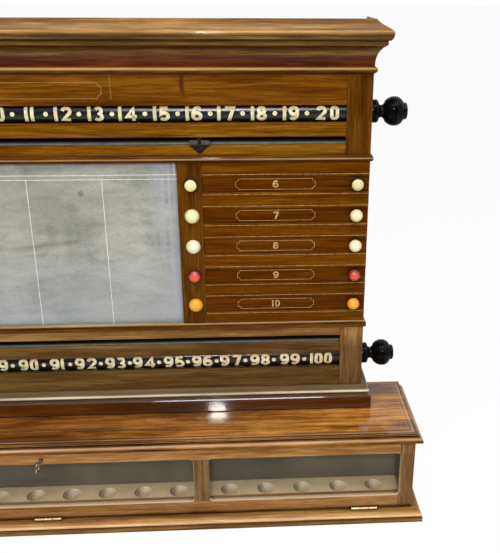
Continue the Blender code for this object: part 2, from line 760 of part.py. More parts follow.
def make_lock(pivot, door, top):
    """The lock in the door's head, its bolt, the key, and the mortise that the bolt enters."""
    pocket_front = door_back - lock_depth
    case_head = door_head - lock_head_wall
    bolt_head = door_head - door_head_bevel - seat_gap
    case_foot = case_head - lock_height
    half = lock_width / 2
    case = block(
        "lock_case", (-half, pocket_front, case_foot), (half, door_back - seat_gap, case_head), brass,
    )
    cut(door, block(
        "lock_pocket",
        (-half - seat_gap, pocket_front - seat_gap, case_foot - seat_gap),
        (half + seat_gap, door_back + overrun, case_head + seat_gap),
    ))
    cut(case, block(
        "lock_hollow",
        (-half + lock_wall, pocket_front + lock_wall, case_foot + lock_wall),
        (half - lock_wall, door_back - seat_gap - lock_wall, case_head - lock_wall),
    ))
    bolt_back = door_back - seat_gap - lock_wall - seat_gap
    bolt_front = bolt_back - bolt_thick
    bolt_foot = case_foot + lock_wall + seat_gap
    bolt = block(
        "lock_bolt", (-bolt_width / 2, bolt_front, bolt_foot),
        (bolt_width / 2, bolt_back, bolt_head), steel,
    )
    way = block(
        "bolt_way",
        (-bolt_width / 2 - slide_gap, bolt_front - slide_gap, case_head - lock_wall - overrun),
        (bolt_width / 2 + slide_gap, bolt_back + slide_gap, door_head + overrun),
    )
    cut(case, way)
    cut(door, way)
    cut(top, block(
        "bolt_mortise",
        (-bolt_width / 2 - slide_gap, bolt_front - slide_gap, box_ceiling - overrun),
        (bolt_width / 2 + slide_gap, bolt_back + slide_gap, bolt_head + bolt_throw + seat_gap),
    ))
    shank_end = bolt_front - seat_gap
    bow_middle = door_face - key_bow_stand - key_bow_radius
    key = rod(
        "key", (0, shank_end, key_z), (0, bow_middle + key_bow_radius, key_z), key_shank_radius,
        key_segments, steel, origin=(0, door_face, key_z),
    )
    bpy.ops.mesh.primitive_torus_add(
        major_segments=2 * key_segments, minor_segments=key_segments // 2, location=(0, bow_middle, key_z),
        rotation=(0, math.pi / 2, 0), major_radius=key_bow_radius, minor_radius=key_bow_wire,
    )
    ring = bpy.context.object
    bow = add_piece("key_bow", ring.data.copy(), ring.location, None)
    bow.rotation_euler = ring.rotation_euler
    bpy.data.objects.remove(ring, do_unlink=True)
    collar_y = door_face - key_collar_stand
    collar = rod(
        "key_collar", (0, collar_y, key_z), (0, collar_y - key_collar_length, key_z),
        key_collar_radius, key_segments,
    )
    bit_back = shank_end - seat_gap
    bit = block(
        "key_bit", (-key_bit_thick / 2, bit_back - key_bit_length, key_z - key_bit_drop),
        (key_bit_thick / 2, bit_back, key_z),
    )
    add(key, bow, collar, bit)
    slot_half = key_bit_thick / 2 + keyhole_slot_gap
    hole_front = door_face - overrun
    hole_back = pocket_front + lock_wall + overrun
    shank_hole = rod(
        "keyhole", (0, hole_front, key_z), (0, hole_back, key_z), key_shank_radius + turn_gap,
        key_segments,
    )
    bit_hole = block(
        "keyhole_slot", (-slot_half, hole_front, key_z - key_bit_drop - keyhole_slot_gap),
        (slot_half, hole_back, key_z),
    )
    for piece in (door, case):
        cut(piece, shank_hole, bit_hole)
    hang_on(pivot, case, bolt, key)


def make_hinge(name, x, pivot, door, floor):
    """A butt hinge: one leaf with the pin lies on the floor, the other under the door."""
    knuckle = hinge_length / 3
    half = hinge_length / 2
    axis = (hinge_axis_y, hinge_axis_z)
    leaf_back = door_face + hinge_leaf_width
    half_parting = hinge_leaf_parting / 2
    clear_y = hinge_axis_y + knuckle_radius + turn_gap
    low_leaf = hinge_axis_z - half_parting - hinge_leaf_thick
    high_leaf = hinge_axis_z + half_parting + hinge_leaf_thick
    base_leaf = block(
        f"hinge_{name}_base_leaf", (x - half, hinge_axis_y, low_leaf),
        (x + half, leaf_back, hinge_axis_z - half_parting), brass,
        origin=(x, *axis),
    )
    middle_low, middle_high = x - knuckle / 2, x + knuckle / 2
    cut(base_leaf, block(
        f"hinge_{name}_base_gap", (middle_low - turn_gap, axis[0] - overrun, low_leaf - overrun),
        (middle_high + turn_gap, clear_y, high_leaf + overrun),
    ))
    for end, low, high in (("a", x - half, middle_low - turn_gap), ("b", middle_high + turn_gap, x + half)):
        add(base_leaf, rod(
            f"hinge_{name}_knuckle_{end}", (low + knuckle_ease, *axis), (high - knuckle_ease, *axis),
            knuckle_radius, hinge_segments,
        ))
    pin_end = knuckle / 2
    add(base_leaf, rod(
        f"hinge_{name}_pin", (x - half + pin_end, *axis), (x + half - pin_end, *axis),
        hinge_pin_radius, hinge_segments,
    ))
    door_leaf = block(
        f"hinge_{name}_door_leaf", (x - half, hinge_axis_y, hinge_axis_z + half_parting),
        (x + half, leaf_back, high_leaf), brass, origin=(x, *axis),
    )
    for end, low, high in (
        ("c", x - half - overrun, middle_low), ("d", middle_high, x + half + overrun),
    ):
        cut(door_leaf, block(
            f"hinge_{name}_door_gap_{end}", (low, axis[0] - overrun, low_leaf - overrun),
            (high, clear_y, high_leaf + overrun),
        ))
    add(door_leaf, rod(
        f"hinge_{name}_knuckle_e", (middle_low + knuckle_ease, *axis),
        (middle_high - knuckle_ease, *axis), knuckle_radius, hinge_segments,
    ))
    cut(door_leaf, rod(
        f"hinge_{name}_bore", (middle_low - overrun, *axis), (middle_high + overrun, *axis),
        hinge_pin_radius + turn_gap, hinge_segments,
    ))
    cut(door, block(
        f"hinge_{name}_recess", (x - half - seat_gap, door_face - overrun, door_foot - overrun),
        (x + half + seat_gap, leaf_back + seat_gap, high_leaf + seat_gap),
    ))
    cut(floor, block(
        f"hinge_{name}_pocket",
        (x - half - seat_gap, 2 * axis[0] - clear_y, axis[1] - knuckle_radius - turn_gap),
        (x + half + seat_gap, clear_y, floor_top + overrun),
    ))
    hang_on(pivot, door_leaf)


def make_door(floor, top):
    pivot = bpy.data.objects.new("door_pivot", None)
    pivot.location = (0, hinge_axis_y, hinge_axis_z)
    parts.objects.link(pivot)
    door_height = door_head - door_foot
    section = (
        (0, 0), (door_thick, 0), (door_thick, door_height - door_head_bevel), (0, door_height),
    )
    door = prism("door_frame", section, "YZ", (0, door_face, door_foot), box_width, walnut)
    glass_front = door_face + glass_set_back
    for name, low, high in (
        ("left", -end_light_outer, -end_light_inner), ("middle", -half_light, half_light),
        ("right", end_light_inner, end_light_outer),
    ):
        light = light_cutter(f"{name}_light", low, high)
        rebate = block(
            f"{name}_rebate", (low - glass_rebate, glass_front - seat_gap, light_foot - glass_rebate),
            (high + glass_rebate, door_back + overrun, light_head + glass_rebate),
        )
        cut(door, light, rebate)
        fit = glass_rebate - seat_gap
        hang_on(pivot, block(
            f"{name}_door_glass", (low - fit, glass_front, light_foot - fit),
            (high + fit, glass_front + glass_thick, light_head + fit), glass_clear,
        ))
    for name, x in (
        ("left", hinge_inset - half_box), ("middle", 0), ("right", half_box - hinge_inset),
    ):
        make_hinge(name, x, pivot, door, floor)
    make_lock(pivot, door, top)
    hang_on(pivot, door)


make_cabinet()
make_slate()
make_slides()
base_floor, base_top = make_box()
make_door(base_floor, base_top)
bpy.context.view_layer.update()
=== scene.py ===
# Billiard marking board: camera, light, woods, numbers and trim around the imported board.
import math

import bmesh
import bpy
from mathutils import Matrix, Vector


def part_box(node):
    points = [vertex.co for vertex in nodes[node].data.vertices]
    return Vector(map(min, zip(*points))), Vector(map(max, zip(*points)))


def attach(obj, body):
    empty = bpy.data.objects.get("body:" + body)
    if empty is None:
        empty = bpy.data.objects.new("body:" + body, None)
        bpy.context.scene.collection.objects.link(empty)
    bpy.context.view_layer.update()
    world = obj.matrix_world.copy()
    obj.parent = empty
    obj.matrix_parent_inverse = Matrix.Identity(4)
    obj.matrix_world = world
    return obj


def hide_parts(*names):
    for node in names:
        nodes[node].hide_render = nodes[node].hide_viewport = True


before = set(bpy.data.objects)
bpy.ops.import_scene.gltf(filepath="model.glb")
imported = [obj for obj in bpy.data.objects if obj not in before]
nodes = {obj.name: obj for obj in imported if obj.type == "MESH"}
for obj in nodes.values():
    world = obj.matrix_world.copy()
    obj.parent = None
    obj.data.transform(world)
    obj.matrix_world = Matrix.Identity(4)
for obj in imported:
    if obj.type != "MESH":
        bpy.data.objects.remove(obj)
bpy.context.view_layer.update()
scene = bpy.context.scene
print("board loaded:", len(nodes), "nodes")

# The camera looks down on the board from a little to the right of its middle.
cameraView = {
    "place": (0.3481, -1.1855, 0.88277),
    "yaw": 3.6405,  # degrees towards the board's right
    "pitch": 21.1941,  # degrees down
    "roll": 0.358,
    "focalPixels": 759.345,
    "middlePixel": (293.61, 274.62),  # where the lens points, in the picture
    "picture": (500, 553),
    "sensor": 36.0, "nearest": 0.01,
}


def makeCamera(view):
    width, height = view["picture"]
    longSide = max(width, height)
    data = bpy.data.cameras.new("boardCamera")
    data.sensor_width = view["sensor"]
    data.lens = view["focalPixels"] / longSide * view["sensor"]
    data.shift_x = (width / 2 - view["middlePixel"][0]) / longSide
    data.shift_y = (view["middlePixel"][1] - height / 2) / longSide
    data.clip_start = view["nearest"]
    camera = bpy.data.objects.new("boardCamera", data)
    scene.collection.objects.link(camera)
    camera.matrix_world = (
        Matrix.Translation(view["place"])
        @ Matrix.Rotation(math.radians(-view["yaw"]), 4, "Z")
        @ Matrix.Rotation(math.radians(90 - view["pitch"]), 4, "X")
        @ Matrix.Rotation(math.radians(view["roll"]), 4, "Z")
    )
    scene.camera = camera


makeCamera(cameraView)


# Short forms for the shader nodes that every finish uses.
def addNode(tree, kind, inputs=None, **settings):
    # A shader node, with its sockets linked where a socket is given and set where a value is.
    node = tree.nodes.new(kind)
    for key, value in settings.items():
        setattr(node, key, value)
    for key, value in (inputs or {}).items():
        if isinstance(value, bpy.types.NodeSocket):
            tree.links.new(value, node.inputs[key])
        else:
            node.inputs[key].default_value = value
    return node


def opaque(colour):
    return (*colour, 1.0) if isinstance(colour, tuple) and len(colour) == 3 else colour


def maths(tree, kind, first, second=0.0, clamp=False):
    node = addNode(tree, "ShaderNodeMath", {0: first, 1: second}, operation=kind)
    node.use_clamp = clamp
    return node.outputs[0]


def vectorMaths(tree, kind, first, second=(0.0, 0.0, 0.0)):
    return addNode(tree, "ShaderNodeVectorMath", {0: first, 1: second}, operation=kind).outputs


def mapped(tree, value, low, high, first=0.0, last=1.0):
    # Where a value lies between two others, held to its ends.
    return addNode(tree, "ShaderNodeMapRange",
                   {"Value": value, "From Min": low, "From Max": high, "To Min": first,
                    "To Max": last}).outputs[0]


def parted(tree, vector):
    return addNode(tree, "ShaderNodeSeparateXYZ", {0: vector}).outputs


def boardPlace(tree):
    # Where a point lies on the board at rest, in metres.
    return addNode(tree, "ShaderNodeTexCoord").outputs["Object"]


def facing(tree, kind="True Normal"):
    return parted(tree, addNode(tree, "ShaderNodeNewGeometry").outputs[kind])


def grey(level):
    return (level, level, level)


def ramp(tree, value, stops):
    node = addNode(tree, "ShaderNodeValToRGB", {"Fac": value})
    marks = node.color_ramp.elements
    while len(marks) < len(stops):
        marks.new(0.5)
    for mark, (place, colour) in zip(marks, stops):
        mark.position = place
        mark.color = opaque(colour)
    return node.outputs["Color"]


def mixColour(tree, share, first, second, kind="MIX"):
    node = tree.nodes.new("ShaderNodeMix")
    node.data_type = "RGBA"
    node.blend_type = kind
    for place, value in ((0, share), (6, opaque(first)), (7, opaque(second))):
        if isinstance(value, bpy.types.NodeSocket):
            tree.links.new(value, node.inputs[place])
        else:
            node.inputs[place].default_value = value
    return node.outputs[2]


def stretched(tree, vector, axis, along, across, shift=(0.0, 0.0, 0.0)):
    # Coordinates that run slowly along the grain and fast across it.
    scale = [across] * 3
    scale[axis] = along
    return addNode(tree, "ShaderNodeMapping",
                   {"Vector": vector, "Scale": scale, "Location": shift}).outputs[0]


def noise(tree, vector, scale=1.0, detail=3.0, roughness=0.5, distortion=0.0):
    return addNode(tree, "ShaderNodeTexNoise",
                   {"Vector": vector, "Scale": scale, "Detail": detail,
                    "Roughness": roughness, "Distortion": distortion}).outputs["Fac"]


def dirtied(tree, colour, reach, low, high, dark):
    # Painted shade, with dirt, where a place sees little of its surroundings.
    dirtAndShade = addNode(tree, "ShaderNodeAmbientOcclusion", {"Distance": reach}, samples=4).outputs["AO"]
    dirtAndShade = ramp(tree, dirtAndShade, ((low, grey(dark)), (high, grey(1.0))))
    return mixColour(tree, 1.0, colour, dirtAndShade, "MULTIPLY")


def roughened(tree, shader, value, shine, reach):
    # Roughness that wanders about its level by half the reach.
    tree.links.new(maths(tree, "ADD", maths(tree, "MULTIPLY", value, reach), shine - reach / 2),
                   shader.inputs["Roughness"])


def bumped(tree, shader, height, strength, depth):
    bump = addNode(tree, "ShaderNodeBump", {"Height": height, "Strength": strength, "Distance": depth})
    tree.links.new(bump.outputs[0], shader.inputs["Normal"])
    return bump


def newMaterial(name):
    material = bpy.data.materials.new(name)
    material.use_nodes = True
    tree = material.node_tree
    return material, tree, tree.nodes["Principled BSDF"]


def rays(tree):
    # The kinds of ray, and one for those that reach the eye straight or through the panes.
    path = addNode(tree, "ShaderNodeLightPath").outputs
    return path, maths(tree, "MAXIMUM", path["Is Camera Ray"], path["Is Transmission Ray"])


# Studio: a pale floor, a white surround that is dim before the board, and four lamps.
studio = {
    "surround": (0.95, 0.97, 1.0),
    "surroundLight": 0.28,  # what matt surfaces get from all round
    "behindLight": 0.95, "beforeLight": 0.10, "aboveLight": 1.1,  # what polished surfaces mirror
    "behindSpan": (-0.15, 0.25), "aboveSpan": (0.35, 0.85),
    "floorColour": (0.86, 0.85, 0.83), "floorHalf": 30.0, "floorDrop": 0.0004,
    "floorGlow": 0.92,  # how much of the floor's brightness the eye sees whatever its shade
    "glowLevel": 1.03,
    "lamps": (
        # name, place, aimed at, width, height, watts, colour
        ("tubeLamp", (0.29, -2.2, 1.87), (0.1, 0.0, 0.40), 0.9, 0.32, 21.0, (0.95, 0.97, 1.0)),
        ("bulbLamp", (0.174, -2.35, 1.59), (0.25, 0.0, 0.25), 0.07, 0.07, 11.0, (1.0, 0.95, 0.88)),
        ("topLamp", (0.25, -0.75, 2.2), (0.2, -0.02, 0.3), 2.2, 0.9, 24.0, (0.97, 0.98, 1.0)),
        ("sideLamp", (2.4, -1.3, 1.1), (0.4, 0.0, 0.45), 1.0, 1.4, 3.0, (0.94, 0.97, 1.0)),
    ),
}


def makeSurround(look):
    world = bpy.data.worlds.new("studioWorld")
    scene.world = world
    world.use_nodes = True
    tree = world.node_tree
    tree.nodes.clear()
    path, seen = rays(tree)
    plain = addNode(tree, "ShaderNodeBackground",
                    {"Color": opaque(look["surround"]), "Strength": look["surroundLight"]})
    towards = parted(tree, addNode(tree, "ShaderNodeTexCoord").outputs["Generated"])
    behind = mapped(tree, towards[1], *look["behindSpan"], look["beforeLight"], look["behindLight"])
    above = mapped(tree, towards[2], *look["aboveSpan"], 0.0, look["aboveLight"])
    mirrored = addNode(tree, "ShaderNodeBackground",
                       {"Color": opaque(look["surround"]),
                        "Strength": maths(tree, "MAXIMUM", behind, above)})
    white = addNode(tree, "ShaderNodeBackground", {"Color": opaque(grey(1.0)), "Strength": 1.0})
    unseen = addNode(tree, "ShaderNodeMixShader",
                     {0: path["Is Glossy Ray"], 1: plain.outputs[0], 2: mirrored.outputs[0]})
    mixed = addNode(tree, "ShaderNodeMixShader",
                    {0: seen, 1: unseen.outputs[0], 2: white.outputs[0]})
    addNode(tree, "ShaderNodeOutputWorld", {"Surface": mixed.outputs[0]})


def makeFloor(look):
    mesh = bpy.data.meshes.new("studioFloor")
    half = look["floorHalf"]
    mesh.from_pydata([(-half, -half, 0), (half, -half, 0), (half, half, 0), (-half, half, 0)],
                     [], [(0, 1, 2, 3)])
    floor = bpy.data.objects.new("studioFloor", mesh)
    floor.location.z = -look["floorDrop"]
    scene.collection.objects.link(floor)
    paint = bpy.data.materials.new("floorPaint")
    paint.use_nodes = True
    tree = paint.node_tree
    tree.nodes.clear()
    share = maths(tree, "MULTIPLY", rays(tree)[1], look["floorGlow"])
    matt = addNode(tree, "ShaderNodeBsdfDiffuse", {"Color": opaque(look["floorColour"])})
    glow = addNode(tree, "ShaderNodeEmission",
                   {"Color": opaque(grey(1.0)), "Strength": look["glowLevel"]})
    mixed = addNode(tree, "ShaderNodeMixShader", {0: share, 1: matt.outputs[0], 2: glow.outputs[0]})
    addNode(tree, "ShaderNodeOutputMaterial", {"Surface": mixed.outputs[0]})
    mesh.materials.append(paint)


def makeLamp(name, place, target, width, height, watts, colour):
    data = bpy.data.lights.new(name, "AREA")
    data.shape = "RECTANGLE"
    data.size, data.size_y = width, height
    data.energy = watts
    data.color = colour
    lamp = bpy.data.objects.new(name, data)
    lamp.location = place
    aim = Vector(target) - Vector(place)
    lamp.rotation_euler = aim.to_track_quat("-Z", "Y").to_euler()
    scene.collection.objects.link(lamp)


makeSurround(studio)
makeFloor(studio)
for lampSettings in studio["lamps"]:
    makeLamp(*lampSettings)
scene.view_settings.view_transform = "Standard"
print("camera and studio set")

# The grain of a board runs along one of the object's axes.
lengthwise, depthwise, upright = 0, 1, 2

# Woods: one recipe, and a tone for each part of the board.
woodTones = {
    "cornice": {"dark": (0.062, 0.017, 0.0012), "mid": (0.170, 0.062, 0.006),
        "light": (0.39, 0.205, 0.038), "shine": 0.28, "coat": 0.34, "coatSpan": (0.7640, 1.0),
        "specular": 0.16},
    "upperFront": {"dark": (0.060, 0.015, 0.0004), "mid": (0.136, 0.040, 0.0014),
        "light": (0.25, 0.094, 0.006), "shine": 0.42, "coat": 0.02, "specular": 0.12},
    "stile": {"dark": (0.040, 0.010, 0.0004), "mid": (0.094, 0.030, 0.0010),
        "light": (0.17, 0.062, 0.004), "shine": 0.42, "coat": 0.02, "specular": 0.10},
    "slide": {"dark": (0.044, 0.0105, 0.0003), "mid": (0.086, 0.0225, 0.0006),
        "light": (0.140, 0.042, 0.0016), "shine": 0.44, "coat": 0.0, "specular": 0.06},
    "slideFrame": {"dark": (0.066, 0.017, 0.0004), "mid": (0.130, 0.039, 0.0010),
        "light": (0.22, 0.080, 0.004), "shine": 0.44, "coat": 0.0, "specular": 0.06},
    "lowerFront": {"dark": (0.056, 0.023, 0.0035), "mid": (0.112, 0.054, 0.0115),
        "light": (0.20, 0.114, 0.034), "shine": 0.38, "coat": 0.12, "specular": 0.15},
    "plinth": {"dark": (0.040, 0.008, 0.0003), "mid": (0.080, 0.018, 0.0006),
        "light": (0.15, 0.046, 0.003), "shine": 0.28, "coat": 0.9, "coatShine": 0.045,
        "coatSpan": (0.0, 0.2005), "specular": 0.06},
    "baseTop": {"dark": (0.080, 0.020, 0.0014), "mid": (0.28, 0.098, 0.012),
        "light": (0.60, 0.27, 0.055), "shine": 0.26, "coat": 0.70, "coatShine": 0.06,
        "coatSpan": (0.1704, 1.0), "specular": 0.16},
    "door": {"dark": (0.16, 0.064, 0.015), "mid": (0.33, 0.150, 0.043),
        "light": (0.52, 0.28, 0.105), "shine": 0.42, "coat": 0.02, "specular": 0.15},
    "boxEnd": {"dark": (0.095, 0.040, 0.011), "mid": (0.2, 0.095, 0.03),
        "light": (0.33, 0.175, 0.062), "shine": 0.42, "coat": 0.02, "specular": 0.15},
    "baseFloor": {"dark": (0.16, 0.056, 0.009), "mid": (0.38, 0.165, 0.035),
        "light": (0.66, 0.36, 0.10), "shine": 0.32, "coat": 0.12, "specular": 0.2},
    "rough": {"dark": (0.07, 0.034, 0.014), "mid": (0.15, 0.082, 0.038),
        "light": (0.24, 0.15, 0.08), "shine": 0.62, "coat": 0.0, "specular": 0.2},
}
woodGrain = {
    "seedStep": (1.37, 2.11, 0.73),
    "warpAlong": 1.6, "warpAcross": 9.0, "warpReach": 0.006,
    "figureAlong": 3.2, "figureAcross": 19.0, "figureWeight": 0.34, "figureBend": 0.5,
    "ringAlong": 6.0, "ringAcross": 110.0, "ringWeight": 0.28, "ringBend": 0.5,
    "grainAlong": 17.0, "grainAcross": 430.0, "grainWeight": 0.38,
    "poreAlong": 42.0, "poreAcross": 850.0, "poreShare": 0.56, "poreFull": 0.72, "poreDark": 0.62,
    "poreTint": (0.5, 0.45, 0.4),
    "rampFrom": 0.385, "rampMiddle": 0.49, "rampTo": 0.605,
    "seamHalf": 0.0005, "seamDark": 0.8, "seamColour": (0.012, 0.005, 0.002),
    # Pale arrises are partly wear and partly painted highlight; grooves get painted shade with some
    # dirt.
    "arrisWidth": 0.0010, "arrisLift": 2.1, "arrisPatches": 70.0,
    "wornSheenGain": 1.9, "wornSheenLift": (0.05, 0.028, 0.008),
    "grooveReach": 0.010, "grooveFrom": 0.42, "grooveTo": 0.80, "grooveDark": 0.16,
    "handledScale": 24.0, "handledReach": 0.18, "handledFall": 0.07, "poreRough": 0.12,
    "fineRise": 0.4, "poreFall": 0.8, "bumpStrength": 0.5, "bumpDepth": 0.00012,
    "coatShine": 0.08, "shineTint": (1.0, 0.60, 0.25), "bend": 1.46,
}


def arrisMask(tree, width):
    # One where a corner turns within the width, nought on flat faces.
    rounded = addNode(tree, "ShaderNodeBevel", {"Radius": width}, samples=4).outputs[0]
    plain = addNode(tree, "ShaderNodeNewGeometry").outputs["True Normal"]
    turn = vectorMaths(tree, "DOT_PRODUCT", rounded, plain)["Value"]
    return maths(tree, "SUBTRACT", 1.0, turn, clamp=True), rounded


def uprightMask(tree, ranges):
    # One in the stretches of a board that are upright stiles or bars, and one along their joints.
    place = parted(tree, boardPlace(tree))
    out, height = maths(tree, "ABSOLUTE", place[0]), place[2]
    mask, joint = 0.0, 0.0
    for inner, outer, foot, head in ranges:
        inside = maths(tree, "MULTIPLY", maths(tree, "GREATER_THAN", out, inner),
                       maths(tree, "LESS_THAN", out, outer))
        between = maths(tree, "MULTIPLY", maths(tree, "GREATER_THAN", height, foot),
                        maths(tree, "LESS_THAN", height, head))
        mask = maths(tree, "MAXIMUM", mask, maths(tree, "MULTIPLY", inside, between))
        fromJoint = maths(tree, "ABSOLUTE", maths(tree, "SUBTRACT", out, inner))
        seam = maths(tree, "LESS_THAN", fromJoint, woodGrain["seamHalf"])
        joint = maths(tree, "MAXIMUM", joint, maths(tree, "MULTIPLY", seam, between))
    return mask, joint


# Painted shade in the hollows and under the lips, with some dirt, and pale lips that are partly worn
# and partly painted highlight, by height: (height, shade, worn sheen).
heightBands = {
    "cornice": ((0.7490, 0.40, 0.0), (0.7545, 0.45, 0.0), (0.7562, 0.9, 0.15), (0.7572, 1.0, 0.62),
                (0.7585, 1.0, 0.66), (0.7596, 0.8, 0.15), (0.7610, 0.50, 0.0), (0.7655, 0.45, 0.0),
                (0.7678, 0.30, 0.0), (0.7740, 0.28, 0.0), (0.7772, 0.55, 0.0), (0.7795, 0.72, 0.02),
                (0.7838, 0.72, 0.02), (0.7868, 0.36, 0.0), (0.7905, 0.30, 0.0), (0.7925, 0.62, 0.06),
                (0.7965, 0.80, 0.06), (0.7985, 0.45, 0.0), (0.8003, 0.24, 0.0), (0.8022, 0.45, 0.0),
                (0.8032, 0.80, 0.10), (0.8046, 0.50, 0.0), (0.8076, 0.45, 0.0), (0.8094, 0.8, 0.10),
                (0.8118, 1.0, 0.42), (0.8134, 1.0, 0.42), (0.8150, 1.0, 0.04), (0.8190, 1.2, 0.22),
                (0.8225, 1.2, 0.12), (0.8255, 1.05, 0.0), (0.8300, 0.85, 0.0)),
    "upperBead": ((0.6150, 0.42, 0.0), (0.6178, 0.42, 0.0), (0.6188, 0.9, 0.35), (0.6194, 1.0, 0.58),
                  (0.6202, 1.0, 0.58), (0.6208, 0.7, 0.15), (0.6214, 0.60, 0.0), (0.6240, 0.68, 0.0)),
    "lowerBead": ((0.3270, 0.85, 0.04), (0.3305, 0.70, 0.0), (0.3330, 0.34, 0.0), (0.3340, 0.5, 0.0),
                  (0.3348, 0.9, 0.30), (0.3356, 1.0, 0.60), (0.3365, 1.0, 0.60)),
    # the plinth's foot is painted paler, a painted reflection of the ball box's top, and its lip is
    # painted highlight with wear
    "plinth": ((0.1710, 1.25, 0.02), (0.1800, 1.00, 0.0), (0.1900, 0.80, 0.0), (0.1946, 0.80, 0.02),
               (0.1960, 0.9, 0.06), (0.1975, 0.9, 0.06), (0.2005, 0.7, 0.03), (0.2018, 0.9, 0.30),
               (0.2028, 1.0, 0.95), (0.2050, 1.0, 0.95), (0.2060, 0.9, 0.22), (0.2070, 0.95, 0.08),
               (0.2100, 0.95, 0.10), (0.2120, 0.6, 0.02)),
    "baseTop": ((0.1560, 0.9, 0.0), (0.1575, 0.60, 0.0), (0.1602, 0.50, 0.0), (0.1614, 0.8, 0.30),
                (0.1622, 0.9, 0.74), (0.1634, 0.9, 0.66), (0.1642, 0.55, 0.08), (0.1650, 0.30, 0.0),
                (0.1664, 0.30, 0.0), (0.1674, 0.8, 0.45), (0.1682, 0.9, 0.66), (0.1690, 0.45, 0.04),
                (0.1704, 0.45, 0.0), (0.1708, 1.0, 0.0), (0.1710, 1.0, 0.0)),
    # the door's foot is painted dark, a painted shadow in the gap over the floor, and its top rail is
    # paler
    "door": ((0.0206, 0.26, 0.0), (0.0238, 0.34, 0.0), (0.0258, 0.85, 0.0), (0.0300, 0.95, 0.0),
             (0.1290, 1.0, 0.0), (0.1310, 1.20, 0.0), (0.1490, 1.20, 0.0)),
    "baseFloor": ((0.0000, 0.55, 0.0), (0.0040, 0.70, 0.0), (0.0060, 0.75, 0.02), (0.0074, 0.35, 0.0),
                  (0.0094, 0.30, 0.0), (0.0106, 0.85, 0.20), (0.0118, 1.1, 0.75), (0.0134, 1.2, 0.95),
                  (0.0150, 1.0, 0.66), (0.0164, 0.85, 0.12), (0.0180, 0.85, 0.10), (0.0196, 0.7, 0.0)),
}
# Pale colours of the lips, for wear and painted highlight.
lipColours = {
    "cornice": (0.66, 0.40, 0.165), "upperBead": (0.62, 0.42, 0.22), "lowerBead": (0.66, 0.50, 0.29),
    "plinth": (0.92, 0.78, 0.56), "baseTop": (0.80, 0.54, 0.32), "door": (0.72, 0.46, 0.23),
    "baseFloor": (0.98, 0.66, 0.34),
}
# The same by distance outwards from the ball box's faces, for the moulded edge of its top.
edgeBands = ((-0.0140, 1.0, 0.0), (-0.0125, 1.0, 0.10), (-0.0105, 1.0, 0.10), (-0.0085, 0.85, 0.0),
             (-0.0070, 0.80, 0.0), (-0.0050, 1.0, 0.42), (-0.0038, 1.0, 0.38), (-0.0018, 0.45, 0.0),
             (0.0010, 0.45, 0.0), (0.0022, 1.0, 0.0))
boxFaces = {"half": 0.627, "front": 0.101}
# Patches in which the pale lips, worn and painted highlight, show.
bandWearAndSheen = {"along": 7.0, "across": 60.0, "from": 0.30, "least": 0.45, "to": 0.62}


def bandRamp(tree, value, bands):
    # Two values along one measure: how dark the painted shade is, halved because a ramp ends at one,
    # and how pale the lip is, from wear and painted highlight.
    low, high = bands[0][0], bands[-1][0]
    stops = tuple(((at - low) / (high - low), (shade / 2, wornSheen, 0.0)) for at, shade, wornSheen in bands)
    parts = addNode(tree, "ShaderNodeSeparateColor",
                    {0: ramp(tree, mapped(tree, value, low, high), stops)}).outputs
    return maths(tree, "MULTIPLY", parts[0], 2.0), parts[1]


def layBands(tree, colour, bands, edges, wornSheen):
    # Painted shade and pale lips, partly wear and partly painted highlight, laid by height and by
    # distance from the box's faces.
    look, place = bandWearAndSheen, boardPlace(tree)
    parts = parted(tree, place)
    patchy = noise(tree, stretched(tree, place, lengthwise, look["along"], look["across"]),
                   detail=4.0, roughness=0.6)
    patchy = ramp(tree, patchy, ((look["from"], grey(look["least"])), (look["to"], grey(1.0))))
    measures = [(parts[2], bands)]
    if edges:
        beside = maths(tree, "SUBTRACT", maths(tree, "ABSOLUTE", parts[0]), boxFaces["half"])
        before = maths(tree, "SUBTRACT", maths(tree, "MULTIPLY", parts[1], -1.0), boxFaces["front"])
        measures.append((maths(tree, "MAXIMUM", beside, before), edges))
    for value, stops in measures:
        shade, pale = bandRamp(tree, value, stops)
        colour = mixColour(tree, 1.0, colour, shade, "MULTIPLY")
        colour = mixColour(tree, maths(tree, "MULTIPLY", pale, patchy), colour, wornSheen)
    return colour


def woodLayer(tree, place, axis, shift, endMask, which, **kinds):
    # One layer of the figure; it runs upright where the board ends in an upright stile.
    along, across = woodGrain[which + "Along"], woodGrain[which + "Across"]
    vector = stretched(tree, place, axis, along, across, shift)
    if endMask is not None:
        chosen = tree.nodes.new("ShaderNodeMix")
        chosen.data_type = "VECTOR"
        tree.links.new(endMask, chosen.inputs[0])
        tree.links.new(vector, chosen.inputs[4])
        tree.links.new(stretched(tree, place, upright, along, across, shift), chosen.inputs[5])
        vector = chosen.outputs[1]
    return noise(tree, vector, **kinds)


def polish(tree, shader, look):
    # Polish is thick on the wide faces only, where a tone gives it a span of heights.
    grain = woodGrain
    shader.inputs["Specular IOR Level"].default_value = look["specular"]
    shader.inputs["Specular Tint"].default_value = opaque(grain["shineTint"])
    shader.inputs["Coat Weight"].default_value = look["coat"]
    shader.inputs["Coat Roughness"].default_value = look.get("coatShine", grain["coatShine"])
    shader.inputs["IOR"].default_value = grain["bend"]
    if "coatSpan" in look:
        low, high = look["coatSpan"]
        height = parted(tree, boardPlace(tree))[2]
        span = maths(tree, "MULTIPLY", maths(tree, "GREATER_THAN", height, low),
                     maths(tree, "LESS_THAN", height, high))
        tree.links.new(maths(tree, "MULTIPLY", span, look["coat"]), shader.inputs["Coat Weight"])


